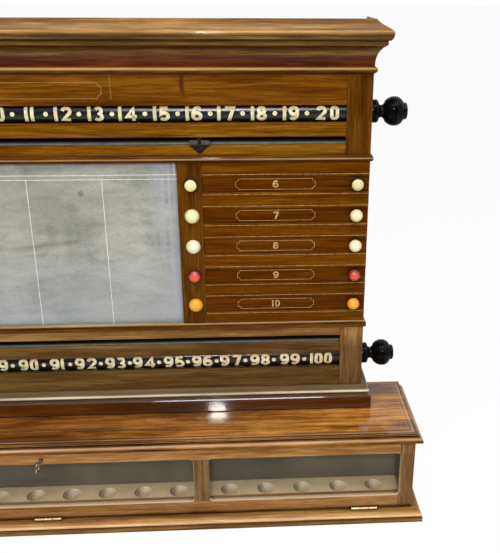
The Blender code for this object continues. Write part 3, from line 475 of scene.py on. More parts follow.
def makeWood(name, tone, axis, seed, uprights=None, marks=None, bands=None):
    look, grain = woodTones[tone], woodGrain
    material, tree, shader = newMaterial(name)
    place = boardPlace(tree)
    shift = tuple(seed * step for step in grain["seedStep"])
    slow = stretched(tree, place, axis, grain["warpAlong"], grain["warpAcross"], shift)
    bent = addNode(tree, "ShaderNodeTexNoise", {"Vector": slow, "Scale": 1.0, "Detail": 2.0})
    lean = vectorMaths(tree, "SUBTRACT", bent.outputs["Color"], grey(0.5))[0]
    lean = addNode(tree, "ShaderNodeVectorMath", {0: lean, "Scale": grain["warpReach"]},
                   operation="SCALE").outputs[0]
    place = vectorMaths(tree, "ADD", place, lean)[0]
    endMask, joint = uprightMask(tree, uprights["ranges"]) if uprights else (None, None)

    laid = (tree, place, axis, shift, endMask)
    figure = woodLayer(*laid, "figure", detail=4.0, roughness=0.55, distortion=grain["figureBend"])
    rings = woodLayer(*laid, "ring", detail=2.0, roughness=0.5, distortion=grain["ringBend"])
    fine = woodLayer(*laid, "grain", detail=4.0, roughness=0.65)
    pores = woodLayer(*laid, "pore", detail=2.0, roughness=0.6)
    value = maths(tree, "ADD", maths(tree, "MULTIPLY", figure, grain["figureWeight"]),
                  maths(tree, "ADD", maths(tree, "MULTIPLY", rings, grain["ringWeight"]),
                        maths(tree, "MULTIPLY", fine, grain["grainWeight"])))
    colour = ramp(tree, value, ((grain["rampFrom"], look["dark"]), (grain["rampMiddle"], look["mid"]),
                                (grain["rampTo"], look["light"])))
    poreMask = ramp(tree, pores, ((grain["poreShare"], grey(0.0)), (grain["poreFull"], grey(1.0))))
    poreColour = tuple(c * share for c, share in zip(look["dark"], grain["poreTint"]))
    colour = mixColour(tree, maths(tree, "MULTIPLY", poreMask, grain["poreDark"]), colour, poreColour)
    if uprights:
        colour = mixColour(tree, endMask, colour, uprights["shade"], "MULTIPLY")
        colour = mixColour(tree, maths(tree, "MULTIPLY", joint, grain["seamDark"]), colour,
                           grain["seamColour"])
    if marks:
        colour = marks(tree, colour)
    # Paler corners: partly wear, partly painted highlight.
    arris, rounded = arrisMask(tree, grain["arrisWidth"])
    patchy = noise(tree, place, scale=grain["arrisPatches"], detail=2.0)
    arris = maths(tree, "MULTIPLY", arris, maths(tree, "MULTIPLY", patchy, grain["arrisLift"]),
                  clamp=True)
    wornSheen = tuple(min(1.0, c * grain["wornSheenGain"] + lift)
                 for c, lift in zip(look["light"], grain["wornSheenLift"]))
    colour = mixColour(tree, arris, colour, wornSheen)
    # Painted shade, with dirt, in the grooves.
    colour = dirtied(tree, colour, grain["grooveReach"], grain["grooveFrom"], grain["grooveTo"],
                     grain["grooveDark"])
    # Painted shade under the lips and in the hollows, and pale lips that are wear and painted
    # highlight.
    if bands:
        colour = layBands(tree, colour, heightBands[bands], edgeBands if bands == "baseTop" else None,
                          lipColours[bands])
    tree.links.new(colour, shader.inputs["Base Color"])

    polish(tree, shader, look)
    handled = noise(tree, place, scale=grain["handledScale"], detail=3.0)
    shine = maths(tree, "ADD", maths(tree, "MULTIPLY", handled, grain["handledReach"]),
                  look["shine"] - grain["handledFall"])
    shine = maths(tree, "ADD", shine, maths(tree, "MULTIPLY", poreMask, grain["poreRough"]))
    tree.links.new(shine, shader.inputs["Roughness"])
    height = maths(tree, "SUBTRACT", maths(tree, "MULTIPLY", fine, grain["fineRise"]),
                   maths(tree, "MULTIPLY", poreMask, grain["poreFall"]))
    bump = bumped(tree, shader, height, grain["bumpStrength"], grain["bumpDepth"])
    tree.links.new(rounded, bump.inputs["Normal"])
    tree.links.new(rounded, shader.inputs["Coat Normal"])
    return material


def cover(nodeName, material):
    # A CAD node keeps its shape and gets a finer finish.
    slots = nodes[nodeName].data.materials
    for index in range(len(slots)):
        slots[index] = material


# How much painted highlight the sills and the left-facing jambs get, and its colour.
doorLitLook = {"front": -0.1036, "back": -0.0925, "tilt": 0.3, "sill": 0.75, "jamb": 0.40,
            "colour": (0.66, 0.52, 0.36)}


def doorFigure(tree, colour):
    # Painted highlight on the sloping edges of the door's lights, where they face up or to the left.
    look = doorLitLook
    depth, turned = parted(tree, boardPlace(tree))[1], facing(tree)
    inside = maths(tree, "MULTIPLY", maths(tree, "GREATER_THAN", depth, look["front"]),
                   maths(tree, "LESS_THAN", depth, look["back"]))
    sill = maths(tree, "MULTIPLY", maths(tree, "GREATER_THAN", turned[2], look["tilt"]), look["sill"])
    jamb = maths(tree, "MULTIPLY", maths(tree, "LESS_THAN", turned[0], -look["tilt"]), look["jamb"])
    share = maths(tree, "MULTIPLY", inside, maths(tree, "MAXIMUM", sill, jamb))
    return mixColour(tree, share, colour, look["colour"])


upperFrontLook = {
    "knotPlace": (0.251, 0.7355), "knotSize": (0.0052, 0.020), "knotBend": 9.0,
    "knotFade": ((0.15, grey(0.8)), (1.3, grey(0.0))), "knotColour": (0.045, 0.012, 0.004),
    "railFrom": 0.696, "railTo": 0.676, "railTint": (1.16, 1.36, 1.4),
    "streakPlace": 0.144, "streakHalf": 0.0018, "streakFoot": 0.712, "streakShare": 0.30,
    "streakColour": (0.46, 0.25, 0.10),
}


def upperFrontFigure(tree, colour):
    # A dark knot right of the middle, a pale upright streak beside it, and a paler lower rail.
    look = upperFrontLook
    parts = parted(tree, boardPlace(tree))
    sideways, height = parts[0], parts[2]
    low = maths(tree, "SUBTRACT", height, look["knotPlace"][1])
    bend = maths(tree, "MULTIPLY", maths(tree, "MULTIPLY", low, low), look["knotBend"])
    across = maths(tree, "SUBTRACT", maths(tree, "SUBTRACT", sideways, look["knotPlace"][0]), bend)
    across = maths(tree, "DIVIDE", across, look["knotSize"][0])
    along = maths(tree, "DIVIDE", low, look["knotSize"][1])
    far = maths(tree, "ADD", maths(tree, "MULTIPLY", across, across),
                maths(tree, "MULTIPLY", along, along))
    colour = mixColour(tree, ramp(tree, far, look["knotFade"]), colour, look["knotColour"])
    under = mapped(tree, height, look["railFrom"], look["railTo"])
    colour = mixColour(tree, under, colour, look["railTint"], "MULTIPLY")
    pale = maths(tree, "DIVIDE",
                 maths(tree, "ABSOLUTE", maths(tree, "SUBTRACT", sideways, look["streakPlace"])),
                 look["streakHalf"])
    pale = ramp(tree, pale, ((0.0, grey(look["streakShare"])), (1.0, grey(0.0))))
    pale = maths(tree, "MULTIPLY", pale, maths(tree, "GREATER_THAN", height, look["streakFoot"]))
    return mixColour(tree, pale, colour, look["streakColour"])


# Red-brown in the cornice's cove, and a greyer top that is a painted reflection of a bright ceiling,
# by height.
corniceTintsAndSheen = (
    (0.7490, (1.0, 1.0, 1.0)), (0.7596, (1.0, 1.0, 1.0)), (0.7608, (1.05, 0.46, 0.24)),
    (0.7752, (1.05, 0.50, 0.25)), (0.7788, (1.0, 1.0, 1.0)), (0.7980, (1.0, 1.0, 1.0)),
    (0.8060, (1.05, 1.18, 1.46)), (0.8300, (1.05, 1.18, 1.46)),
)


def corniceFigure(tree, colour):
    low, high = corniceTintsAndSheen[0][0], corniceTintsAndSheen[-1][0]
    share = mapped(tree, parted(tree, boardPlace(tree))[2], low, high)
    stops = tuple(((at - low) / (high - low), tint) for at, tint in corniceTintsAndSheen)
    return mixColour(tree, 1.0, colour, ramp(tree, share, stops), "MULTIPLY")


lowerFrontLook = {"railFrom": 0.285, "railTo": 0.311, "railLift": 2.1}


def lowerFrontFigure(tree, colour):
    # The rail over the lower slot is paler than the rest of its board.
    look = lowerFrontLook
    height = parted(tree, boardPlace(tree))[2]
    lift = mapped(tree, height, look["railFrom"], look["railTo"], 1.0, look["railLift"])
    return mixColour(tree, 1.0, colour, lift, "MULTIPLY")


plinthLook = {"olive": (0.100, 0.052, 0.010), "oliveFrom": 0.2046, "oliveShare": 0.8}


def plinthFigure(tree, colour):
    # Above its lip the plinth has the lower front's olive tone.
    over = maths(tree, "GREATER_THAN", parted(tree, boardPlace(tree))[2], plinthLook["oliveFrom"])
    return mixColour(tree, maths(tree, "MULTIPLY", over, plinthLook["oliveShare"]), colour,
                     plinthLook["olive"])


baseTopLook = {
    "ends": (-0.35, 0.62),
    "shades": ((0.0, (0.42, 0.33, 0.23)), (0.40, (0.56, 0.50, 0.46)), (0.72, (0.82, 0.82, 0.90)),
               (0.95, (1.10, 1.12, 1.10))),
    "lift": (1.45, 1.45, 1.35),
    "cloudAlong": 9.0, "cloudAcross": 30.0, "cloudBend": 1.2, "cloudShare": 0.8,
    "cloud": ((0.38, grey(0.50)), (0.58, grey(1.0))),
}


def baseTopFigure(tree, colour):
    # The ball box's top grows paler from its left end to its right, and is clouded all over.
    look, place = baseTopLook, boardPlace(tree)
    share = mapped(tree, parted(tree, place)[0], *look["ends"])
    colour = mixColour(tree, 1.0, colour, ramp(tree, share, look["shades"]), "MULTIPLY")
    colour = mixColour(tree, 1.0, colour, look["lift"], "MULTIPLY")
    cloud = noise(tree, stretched(tree, place, lengthwise, look["cloudAlong"], look["cloudAcross"]),
                  detail=4.0, roughness=0.6, distortion=look["cloudBend"])
    return mixColour(tree, look["cloudShare"], colour, ramp(tree, cloud, look["cloud"]), "MULTIPLY")


# Upright stretches as (inner end, outer end, foot, head), by distance from the middle.
upperStiles = {"ranges": ((0.505, 1.0, 0.0, 1.0),), "shade": (0.58, 0.56, 0.50)}
lowerStiles = {"ranges": ((0.505, 1.0, 0.0, 1.0),), "shade": (1.30, 1.26, 1.75)}
doorStiles = {"ranges": ((0.6025, 1.0, 0.0, 1.0), (0.249, 0.276, 0.0466, 0.130)),
              "shade": (0.62, 0.70, 0.92)}
woodPieces = (
    # node, tone, grain axis, seed, upright stretches, extra marks, bands by height
    ("cornice", "cornice", lengthwise, 1, None, corniceFigure, "cornice"),
    ("upper_front", "upperFront", lengthwise, 2, upperStiles, upperFrontFigure, None),
    ("upper_bead", "upperFront", lengthwise, 3, None, None, "upperBead"),
    ("lower_bead", "upperFront", lengthwise, 4, None, None, "lowerBead"),
    ("lower_front", "lowerFront", lengthwise, 5, lowerStiles, lowerFrontFigure, None),
    ("cabinet_plinth", "plinth", lengthwise, 6, None, plinthFigure, "plinth"),
    ("cabinet_side_left", "stile", upright, 7, None, None, None),
    ("cabinet_side_right", "stile", upright, 8, None, None, None),
    ("cabinet_back", "rough", lengthwise, 9, None, None, None),
    ("slate_stile_left", "stile", upright, 10, None, None, None),
    ("slate_stile_right", "stile", upright, 11, None, None, None),
    ("slide_frame_left", "slideFrame", lengthwise, 12, None, None, None),
    ("slide_frame_right", "slideFrame", lengthwise, 13, None, None, None),
    ("base_floor", "baseFloor", lengthwise, 14, None, None, "baseFloor"),
    ("base_top", "baseTop", lengthwise, 15, None, baseTopFigure, "baseTop"),
    ("base_end_left", "boxEnd", depthwise, 16, None, None, None),
    ("base_end_right", "boxEnd", depthwise, 17, None, None, None),
    ("base_back", "rough", lengthwise, 18, None, None, None),
    ("door_frame", "door", lengthwise, 19, doorStiles, doorFigure, "door"),
)
slideCount = 5  # slides on each side, with as many balls beside them
for nodeName, tone, axis, seed, uprights, marks, bands in woodPieces:
    cover(nodeName, makeWood(nodeName + "Wood", tone, axis, seed, uprights, marks, bands))
for side, firstSeed in (("left", 31), ("right", 41)):
    for number in range(1, slideCount + 1):
        cover(f"slide_{side}_{number}",
              makeWood(f"slideWood_{side}_{number}", "slide", lengthwise, firstSeed + number - 1))
print("woods laid")

# Smooth finishes: black polish, metals, tray paint and lining cloth.
plainFinishes = {
    # How dark each finish's hollows get is partly dirt and partly painted shade.
    "drumPolish": {"base": (0.0035, 0.003, 0.003), "other": (0.008, 0.007, 0.006), "shine": 0.24,
                   "coat": 0.95, "coatShine": 0.22, "metal": 0.0, "scale": 30.0, "dirtAndShade": 0.3,
                   "specular": 0.06},
    "knobPolish": {"base": (0.0024, 0.0020, 0.0020), "other": (0.005, 0.004, 0.003), "shine": 0.24,
                   "coat": 0.26, "coatShine": 0.04, "metal": 0.0, "scale": 30.0, "dirtAndShade": 0.3,
                   "specular": 0.02},
    "brass": {"base": (0.60, 0.42, 0.17), "other": (0.82, 0.68, 0.40),
              "shine": 0.30, "coat": 0.0, "metal": 1.0, "scale": 120.0, "dirtAndShade": 0.35},
    "steel": {"base": (0.26, 0.24, 0.22), "other": (0.42, 0.40, 0.37),
              "shine": 0.36, "coat": 0.0, "metal": 1.0, "scale": 120.0, "dirtAndShade": 0.4},
    "keyMetal": {"base": (0.16, 0.12, 0.07), "other": (0.62, 0.54, 0.38),
                 "shine": 0.30, "coat": 0.0, "metal": 1.0, "scale": 160.0, "dirtAndShade": 0.5},
    "trayPaint": {"base": (0.65, 0.455, 0.232), "other": (0.81, 0.62, 0.375),
                  "shine": 0.70, "coat": 0.0, "metal": 0.0, "scale": 26.0, "dirtAndShade": 0.35},
    "liningCloth": {"base": (0.077, 0.070, 0.044), "other": (0.165, 0.136, 0.079),
                    "shine": 0.92, "coat": 0.0, "metal": 0.0, "scale": 14.0, "dirtAndShade": 0.6},
}
plainGrain = {
    "cloudFrom": 0.30, "cloudTo": 0.72, "dirtShadeReach": 0.006, "dirtShadeFrom": 0.30, "dirtShadeTo": 0.90,
    "coatShine": 0.10, "specular": 0.5,
    "smudgeShare": 1.7, "smudgeReach": 0.16,  # against the scale, and in roughness
    "speckShare": 18.0, "bumpStrength": 0.25, "bumpDepth": 0.0001,
}


def makePlain(name, look, marks=None):
    grain = plainGrain
    material, tree, shader = newMaterial(name)
    place = boardPlace(tree)
    cloud = noise(tree, place, scale=look["scale"], detail=5.0, roughness=0.6)
    colour = ramp(tree, cloud, ((grain["cloudFrom"], look["base"]), (grain["cloudTo"], look["other"])))
    # Painted shade, with dirt, in the hollows.
    colour = dirtied(tree, colour, grain["dirtShadeReach"], grain["dirtShadeFrom"], grain["dirtShadeTo"],
                     look["dirtAndShade"])
    if marks:
        colour = marks(tree, colour)
    tree.links.new(colour, shader.inputs["Base Color"])
    shader.inputs["Metallic"].default_value = look["metal"]
    shader.inputs["Coat Weight"].default_value = look["coat"]
    shader.inputs["Coat Roughness"].default_value = look.get("coatShine", grain["coatShine"])
    shader.inputs["Specular IOR Level"].default_value = look.get("specular", grain["specular"])
    smudge = noise(tree, place, scale=look["scale"] * grain["smudgeShare"], detail=3.0)
    roughened(tree, shader, smudge, look["shine"], grain["smudgeReach"])
    speck = noise(tree, place, scale=look["scale"] * grain["speckShare"], detail=3.0)
    bumped(tree, shader, speck, grain["bumpStrength"], grain["bumpDepth"])
    return material


cupLight = {
    "palePull": 1.8, "darkPull": 2.6, "flat": 0.998, "steep": 0.3,
    "pale": (1.0, 0.90, 0.66), "dark": (0.16, 0.12, 0.08),
}


def cupFigure(tree, colour):
    # Light falls on the far side of each cup and leaves its left side dark.
    look, turned = cupLight, facing(tree, "Normal")
    near = maths(tree, "MULTIPLY", turned[1], -look["palePull"], clamp=True)
    dark = maths(tree, "MULTIPLY", turned[0], look["darkPull"], clamp=True)
    slope = maths(tree, "MULTIPLY", maths(tree, "LESS_THAN", turned[2], look["flat"]),
                  maths(tree, "GREATER_THAN", turned[2], look["steep"]))
    colour = mixColour(tree, maths(tree, "MULTIPLY", slope, near), colour, look["pale"])
    return mixColour(tree, maths(tree, "MULTIPLY", slope, dark), colour, look["dark"])


finishes = {name: makePlain(name, look, cupFigure if name == "trayPaint" else None)
            for name, look in plainFinishes.items()}
plainPieces = {
    "brass": tuple(f"hinge_{place}_{leaf}_leaf" for place in ("left", "middle", "right")
                   for leaf in ("base", "door")) + ("lock_case",),
    "steel": ("lock_bolt",),
    "keyMetal": ("key",),
    "trayPaint": ("ball_tray",),
    "liningCloth": ("ball_box_lining",),
}
for finish, names in plainPieces.items():
    for nodeName in names:
        cover(nodeName, finishes[finish])

# Slots: tin strips painted darker upwards, a painted shade under the slot's upper edge, and pointers
# that are bare over the slot and black below.
slotTin = {
    "base": (0.13, 0.135, 0.115), "other": (0.26, 0.262, 0.228),
    "shine": 0.46, "coat": 0.0, "metal": 0.55, "scale": 60.0, "dirtAndShade": 0.12,
    "shadeFrom": 0.0016, "shadeTo": 0.0042, "shadeLast": 0.10,  # above the strip's foot
}
pointerLook = {
    "bare": (0.060, 0.063, 0.054), "bareWorn": (0.105, 0.107, 0.092), "bareHeight": 0.0072,
    "black": (0.012, 0.004, 0.003), "blackWorn": (0.036, 0.014, 0.006), "neckHalf": 0.0028,
    "cloudScale": 240.0, "bareSpan": (0.35, 0.65), "blackSpan": (0.45, 0.75),
    "fade": 0.0008, "shine": 0.50, "shineReach": 0.2, "metal": 0.35, "specular": 0.12,
}


def makeSlotStrip(name, foot, look):
    def darkening(tree, colour):
        # Painted shade, darker towards the strip's top.
        fade = mapped(tree, parted(tree, boardPlace(tree))[2], foot + look["shadeFrom"],
                      foot + look["shadeTo"], 1.0, look["shadeLast"])
        return mixColour(tree, 1.0, colour, fade, "MULTIPLY")

    return makePlain(name, look, darkening)


def makePointer(name, middle, slotFoot, look):
    material, tree, shader = newMaterial(name)
    place = boardPlace(tree)
    parts = parted(tree, place)
    height = maths(tree, "SUBTRACT", parts[2], slotFoot)
    sideways = maths(tree, "ABSOLUTE", maths(tree, "SUBTRACT", parts[0], middle))
    over = maths(tree, "DIVIDE", height, look["fade"], clamp=True)
    over = maths(tree, "MULTIPLY", over, maths(tree, "LESS_THAN", height, look["bareHeight"]))
    over = maths(tree, "MULTIPLY", over, maths(tree, "GREATER_THAN", sideways, look["neckHalf"]))
    cloud = noise(tree, place, scale=look["cloudScale"], detail=4.0)
    bare = ramp(tree, cloud, tuple(zip(look["bareSpan"], (look["bare"], look["bareWorn"]))))
    black = ramp(tree, cloud, tuple(zip(look["blackSpan"], (look["black"], look["blackWorn"]))))
    tree.links.new(mixColour(tree, over, black, bare), shader.inputs["Base Color"])
    tree.links.new(maths(tree, "MULTIPLY", over, look["metal"]), shader.inputs["Metallic"])
    roughened(tree, shader, cloud, look["shine"], look["shineReach"])
    shader.inputs["Specular IOR Level"].default_value = look["specular"]
    return material


for row in ("upper", "lower"):
    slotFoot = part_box(f"{row}_slot_strip")[0].z
    cover(f"{row}_slot_strip", makeSlotStrip(f"{row}SlotTin", slotFoot, slotTin))
    low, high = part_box(f"{row}_pointer")
    cover(f"{row}_pointer",
          makePointer(f"{row}PointerTin", (low.x + high.x) / 2, slotFoot, pointerLook))

# The slate, clouded with old chalk. Each fade gives how strong a mark is along its own measure.
slateLook = {
    "broadAlong": 9.0, "broadUp": 13.0, "broadBend": 0.8, "broadWeight": 0.46,
    "wipedAlong": 11.0, "wipedUp": 44.0, "wipedShift": (3.0, 1.0, 2.0), "wipedBend": 1.0,
    "wipedWeight": 0.28, "fineScale": 420.0, "fineWeight": 0.26,
    "tones": ((0.36, (0.20, 0.205, 0.175)), (0.50, (0.375, 0.37, 0.315)),
              (0.63, (0.53, 0.525, 0.47))),
    "brown": (0.235, 0.225, 0.165), "brownPlace": (0.02, 0.552), "brownSize": (0.15, 0.060),
    "brownFade": ((0.2, grey(0.60)), (1.25, grey(0.0))), "brownLift": 0.25,
    "blue": (0.37, 0.40, 0.435), "blueFrom": 0.60, "blueReach": 0.27,
    "blueFade": ((0.40, grey(0.0)), (1.0, grey(0.60))),
    "lilac": (0.40, 0.42, 0.50), "lilacFrom": 0.185, "lilacReach": 0.04,
    "lilacFade": ((0.0, grey(0.0)), (0.9, grey(1.0))),
    "strokeUp": 4.0, "strokeAcross": 150.0, "strokeFade": ((0.42, grey(0.0)), (0.60, grey(0.75))),
    "smear": (0.15, 0.135, 0.085), "smearPlace": (0.030, 0.4795), "smearSlope": 0.150,
    "smearBend": 0.75, "smearReach": 0.095, "wobbleScale": 30.0, "wobbleReach": 0.006,
    "smearFade": ((0.0, grey(0.50)), (0.0022, grey(0.22)), (0.008, grey(0.0))),
    "smearEnds": ((0.35, grey(1.0)), (1.0, grey(0.0))),
    "spot": (0.09, 0.09, 0.07), "spotPlace": (0.0835, 0.5640), "spotSize": (0.0056, 0.0056),
    "spotFade": ((0.5, grey(0.62)), (1.2, grey(0.0))),
    "border": (0.50, 0.52, 0.52), "borderFrom": 0.2305,
    "borderFade": ((0.0, grey(0.0)), (0.004, grey(0.5))),
    "dirtShadeReach": 0.018, "dirtShadeFrom": 0.25, "dirtShadeTo": 0.90, "dirtAndShade": 0.30,
    "specular": 0.3, "shine": 0.60, "shineReach": 0.2, "bumpStrength": 0.3, "bumpDepth": 0.0001,
}


def awayFrom(tree, sideways, height, centre, size):
    # How far a point lies from a centre, in shares of a size across and up.
    across = maths(tree, "DIVIDE", maths(tree, "SUBTRACT", sideways, centre[0]), size[0])
    upward = maths(tree, "DIVIDE", maths(tree, "SUBTRACT", height, centre[1]), size[1])
    return maths(tree, "SQRT", maths(tree, "ADD", maths(tree, "MULTIPLY", across, across),
                                     maths(tree, "MULTIPLY", upward, upward)))


def slateSmear(tree, place, sideways, height, look):
    # How strong the long dark smear is that rises to the right.
    run = maths(tree, "SUBTRACT", sideways, look["smearPlace"][0])
    rise = maths(tree, "ADD", maths(tree, "MULTIPLY", run, look["smearSlope"]),
                 maths(tree, "MULTIPLY", maths(tree, "MULTIPLY", run, run), look["smearBend"]))
    line = maths(tree, "SUBTRACT", maths(tree, "SUBTRACT", height, look["smearPlace"][1]), rise)
    wobble = noise(tree, place, scale=look["wobbleScale"], detail=2.0)
    wobble = maths(tree, "MULTIPLY", maths(tree, "SUBTRACT", wobble, 0.5), look["wobbleReach"])
    line = maths(tree, "ABSOLUTE", maths(tree, "ADD", line, wobble))
    ends = maths(tree, "DIVIDE", maths(tree, "ABSOLUTE", run), look["smearReach"])
    return maths(tree, "MULTIPLY", ramp(tree, line, look["smearFade"]),
                 ramp(tree, ends, look["smearEnds"]))


def makeSlate(look):
    material, tree, shader = newMaterial("slateStone")
    place = boardPlace(tree)
    parts = parted(tree, place)
    sideways, height = parts[0], parts[2]
    broad = noise(tree, stretched(tree, place, lengthwise, look["broadAlong"], look["broadUp"]),
                  detail=6.0, roughness=0.65, distortion=look["broadBend"])
    wiped = noise(tree, stretched(tree, place, lengthwise, look["wipedAlong"], look["wipedUp"],
                                  look["wipedShift"]),
                  detail=5.0, roughness=0.65, distortion=look["wipedBend"])
    fine = noise(tree, place, scale=look["fineScale"], detail=3.0, roughness=0.7)
    value = maths(tree, "ADD", maths(tree, "MULTIPLY", broad, look["broadWeight"]),
                  maths(tree, "ADD", maths(tree, "MULTIPLY", wiped, look["wipedWeight"]),
                        maths(tree, "MULTIPLY", fine, look["fineWeight"])))
    colour = ramp(tree, value, look["tones"])
    # browner towards the head, bluer and paler towards the foot
    brown = ramp(tree, awayFrom(tree, sideways, height, look["brownPlace"], look["brownSize"]),
                 look["brownFade"])
    brown = maths(tree, "MULTIPLY", brown, maths(tree, "ADD", broad, look["brownLift"]))
    colour = mixColour(tree, brown, colour, look["brown"])
    down = maths(tree, "DIVIDE", maths(tree, "SUBTRACT", look["blueFrom"], height), look["blueReach"])
    colour = mixColour(tree, ramp(tree, down, look["blueFade"]), colour, look["blue"])
    # upright strokes of coloured chalk near the right edge
    strokes = noise(tree, stretched(tree, place, upright, look["strokeUp"], look["strokeAcross"]),
                    detail=3.0)
    beside = maths(tree, "DIVIDE", maths(tree, "SUBTRACT", sideways, look["lilacFrom"]),
                   look["lilacReach"])
    strokes = maths(tree, "MULTIPLY", ramp(tree, strokes, look["strokeFade"]),
                    ramp(tree, beside, look["lilacFade"]))
    colour = mixColour(tree, strokes, colour, look["lilac"])
    colour = mixColour(tree, slateSmear(tree, place, sideways, height, look), colour, look["smear"])
    spot = awayFrom(tree, sideways, height, look["spotPlace"], look["spotSize"])
    colour = mixColour(tree, ramp(tree, spot, look["spotFade"]), colour, look["spot"])
    # a paler strip along the slate's side edges
    border = maths(tree, "SUBTRACT", maths(tree, "ABSOLUTE", sideways), look["borderFrom"])
    colour = mixColour(tree, ramp(tree, border, look["borderFade"]), colour, look["border"])
    # Painted shade, with dirt, along the frame and in the hollows.
    colour = dirtied(tree, colour, look["dirtShadeReach"], look["dirtShadeFrom"], look["dirtShadeTo"], look["dirtAndShade"])
    tree.links.new(colour, shader.inputs["Base Color"])
    shader.inputs["Specular IOR Level"].default_value = look["specular"]
    roughened(tree, shader, wiped, look["shine"], look["shineReach"])
    bumped(tree, shader, fine, look["bumpStrength"], look["bumpDepth"])
    return material


cover("slate", makeSlate(slateLook))

# Panes: clear, with a faint haze and a mirror on the faces that look out.
glassLook = {
    "tint": (0.985, 0.99, 0.985), "hazeAlong": 3.0, "hazeAcross": 12.0, "hazeFrom": 0.3,
    "hazeTo": 0.7, "hazeGain": 1.06, "shine": 0.03, "bend": 1.36,
}


def makeGlass(look):
    material, tree, shader = newMaterial("paneGlass")
    tree.nodes.remove(shader)
    haze = noise(tree, stretched(tree, boardPlace(tree), lengthwise, look["hazeAlong"],
                                 look["hazeAcross"]), detail=3.0)
    bright = tuple(c * look["hazeGain"] for c in look["tint"])
    tint = ramp(tree, haze, ((look["hazeFrom"], look["tint"]), (look["hazeTo"], bright)))
    clear = addNode(tree, "ShaderNodeBsdfTransparent", {"Color": tint})
    gloss = addNode(tree, "ShaderNodeBsdfGlossy",
                    {"Color": opaque(grey(1.0)), "Roughness": look["shine"]})
    # were the inner faces mirrors too, a slanting view would never leave the pane
    edge = addNode(tree, "ShaderNodeFresnel", {"IOR": look["bend"]}).outputs[0]
    inward = addNode(tree, "ShaderNodeNewGeometry").outputs["Backfacing"]
    share = maths(tree, "MULTIPLY", edge, maths(tree, "SUBTRACT", 1.0, inward))
    mixed = addNode(tree, "ShaderNodeMixShader", {0: share, 1: clear.outputs[0], 2: gloss.outputs[0]})
    tree.links.new(mixed.outputs[0], tree.nodes["Material Output"].inputs["Surface"])
    return material


paneGlass = makeGlass(glassLook)
for pane in ("left", "middle", "right"):
    cover(pane + "_door_glass", paneGlass)

# The slides' balls from the top down: colour turns from centre to rim between inner and outer.
ballColours = {
    1: {"name": "cream", "centre": (0.86, 0.73, 0.34), "rim": (0.030, 0.024, 0.020),
        "inner": 0.84, "outer": 0.92},
    2: {"name": "ivory", "centre": (0.98, 0.86, 0.52), "rim": (0.86, 0.66, 0.30),
        "inner": 0.55, "outer": 1.0},
    3: {"name": "white", "centre": (0.97, 0.88, 0.62), "rim": (0.86, 0.70, 0.38),
        "inner": 0.55, "outer": 1.0},
    # the red ball's dark rim is painted shadow from its seat
    4: {"name": "red", "centre": (0.84, 0.10, 0.050), "rim": (0.17, 0.008, 0.008),
        "inner": 0.45, "outer": 0.92},
    5: {"name": "orange", "centre": (1.0, 0.45, 0.030), "rim": (0.76, 0.25, 0.012),
        "inner": 0.60, "outer": 1.0},
}
ballGrain = {
    "agedScale": 260.0, "aged": ((0.3, grey(0.86)), (0.6, grey(1.0))),
    "wornScale": 140.0, "shine": 0.255, "shineReach": 0.15, "coat": 0.3, "coatShine": 0.08,
}


def makeBall(name, tone):
    # Distances from the middle of the ball's face are shares of the ball's own half width.
    look = ballGrain
    material, tree, shader = newMaterial(name)
    coords = addNode(tree, "ShaderNodeTexCoord").outputs
    middle = vectorMaths(tree, "SUBTRACT", coords["Generated"], grey(0.5))[0]
    flat = vectorMaths(tree, "MULTIPLY", middle, (2.0, 0.0, 2.0))[0]
    away = vectorMaths(tree, "LENGTH", flat)["Value"]
    colour = ramp(tree, away, ((tone["inner"], tone["centre"]), (tone["outer"], tone["rim"])))
    aged = noise(tree, coords["Object"], scale=look["agedScale"], detail=4.0)
    colour = mixColour(tree, 1.0, colour, ramp(tree, aged, look["aged"]), "MULTIPLY")
    tree.links.new(colour, shader.inputs["Base Color"])
    wornSheen = noise(tree, coords["Object"], scale=look["wornScale"], detail=2.0)
    roughened(tree, shader, wornSheen, look["shine"], look["shineReach"])
    shader.inputs["Coat Weight"].default_value = look["coat"]
    shader.inputs["Coat Roughness"].default_value = look["coatShine"]
    return material


for number, tone in ballColours.items():
    ballFinish = makeBall(tone["name"] + "Ball", tone)
    for side in ("left", "right"):
        cover(f"slide_knob_{side}_{number}", ballFinish)
print("finishes laid")


def addPiece(name, mesh, body, material, smooth=None):
    # A new piece that moves with its body; corners sharper than smooth, in degrees, stay sharp.
    piece = bpy.data.objects.new(name, mesh)
    scene.collection.objects.link(piece)
    mesh.materials.append(material)
    if smooth:
        mesh.shade_smooth()
        mesh.set_sharp_from_angle(angle=math.radians(smooth))
    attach(piece, body)
    return piece


weldReach, cutReach = 1e-6, 1e-7  # metres within which points are one, when joined and when cut


def ringFaces(rings, sides):
    # Quads between rings of points, from the first ring to the last.
    return [[level * sides + k, level * sides + (k + 1) % sides,
             (level + 1) * sides + (k + 1) % sides, (level + 1) * sides + k]
            for level in range(rings - 1) for k in range(sides)]


# The rollers are turned again with finer steps, and with the rings cut round their knobs.
turning = {
    "steps": 64, "smoothAngle": 38, "drumRadius": 0.020, "drumGap": 0.001, "spindleRadius": 0.006,
    "knobRoot": 0.061,  # in from the roller's end
    "knobLength": 0.0585, "knobRadius": 0.0232,
    # radius and distance from the cabinet, as shares of the knob's radius and length
    "knob": ((0.77, 0.0), (0.79, 0.012), (0.79, 0.155), (0.76, 0.185), (0.70, 0.20), (0.56, 0.215),
             (0.48, 0.235), (0.43, 0.265), (0.42, 0.30), (0.45, 0.335), (0.52, 0.365), (0.62, 0.385),
             (0.72, 0.405), (0.81, 0.44), (0.88, 0.48), (0.932, 0.52), (0.97, 0.56), (0.993, 0.60),
             (1.0, 0.645), (0.993, 0.69), (0.965, 0.74), (0.91, 0.79), (0.84, 0.83),
             (0.74, 0.865), (0.64, 0.89), (0.58, 0.905), (0.57, 0.925), (0.57, 0.965),
             (0.50, 0.992), (0.42, 1.0), (0.0, 1.0)),
    "rings": (0.060, 0.110, 0.455, 0.505, 0.555, 0.605, 0.655), "ringDepth": 0.042,
    "ringHalf": 0.015,
}


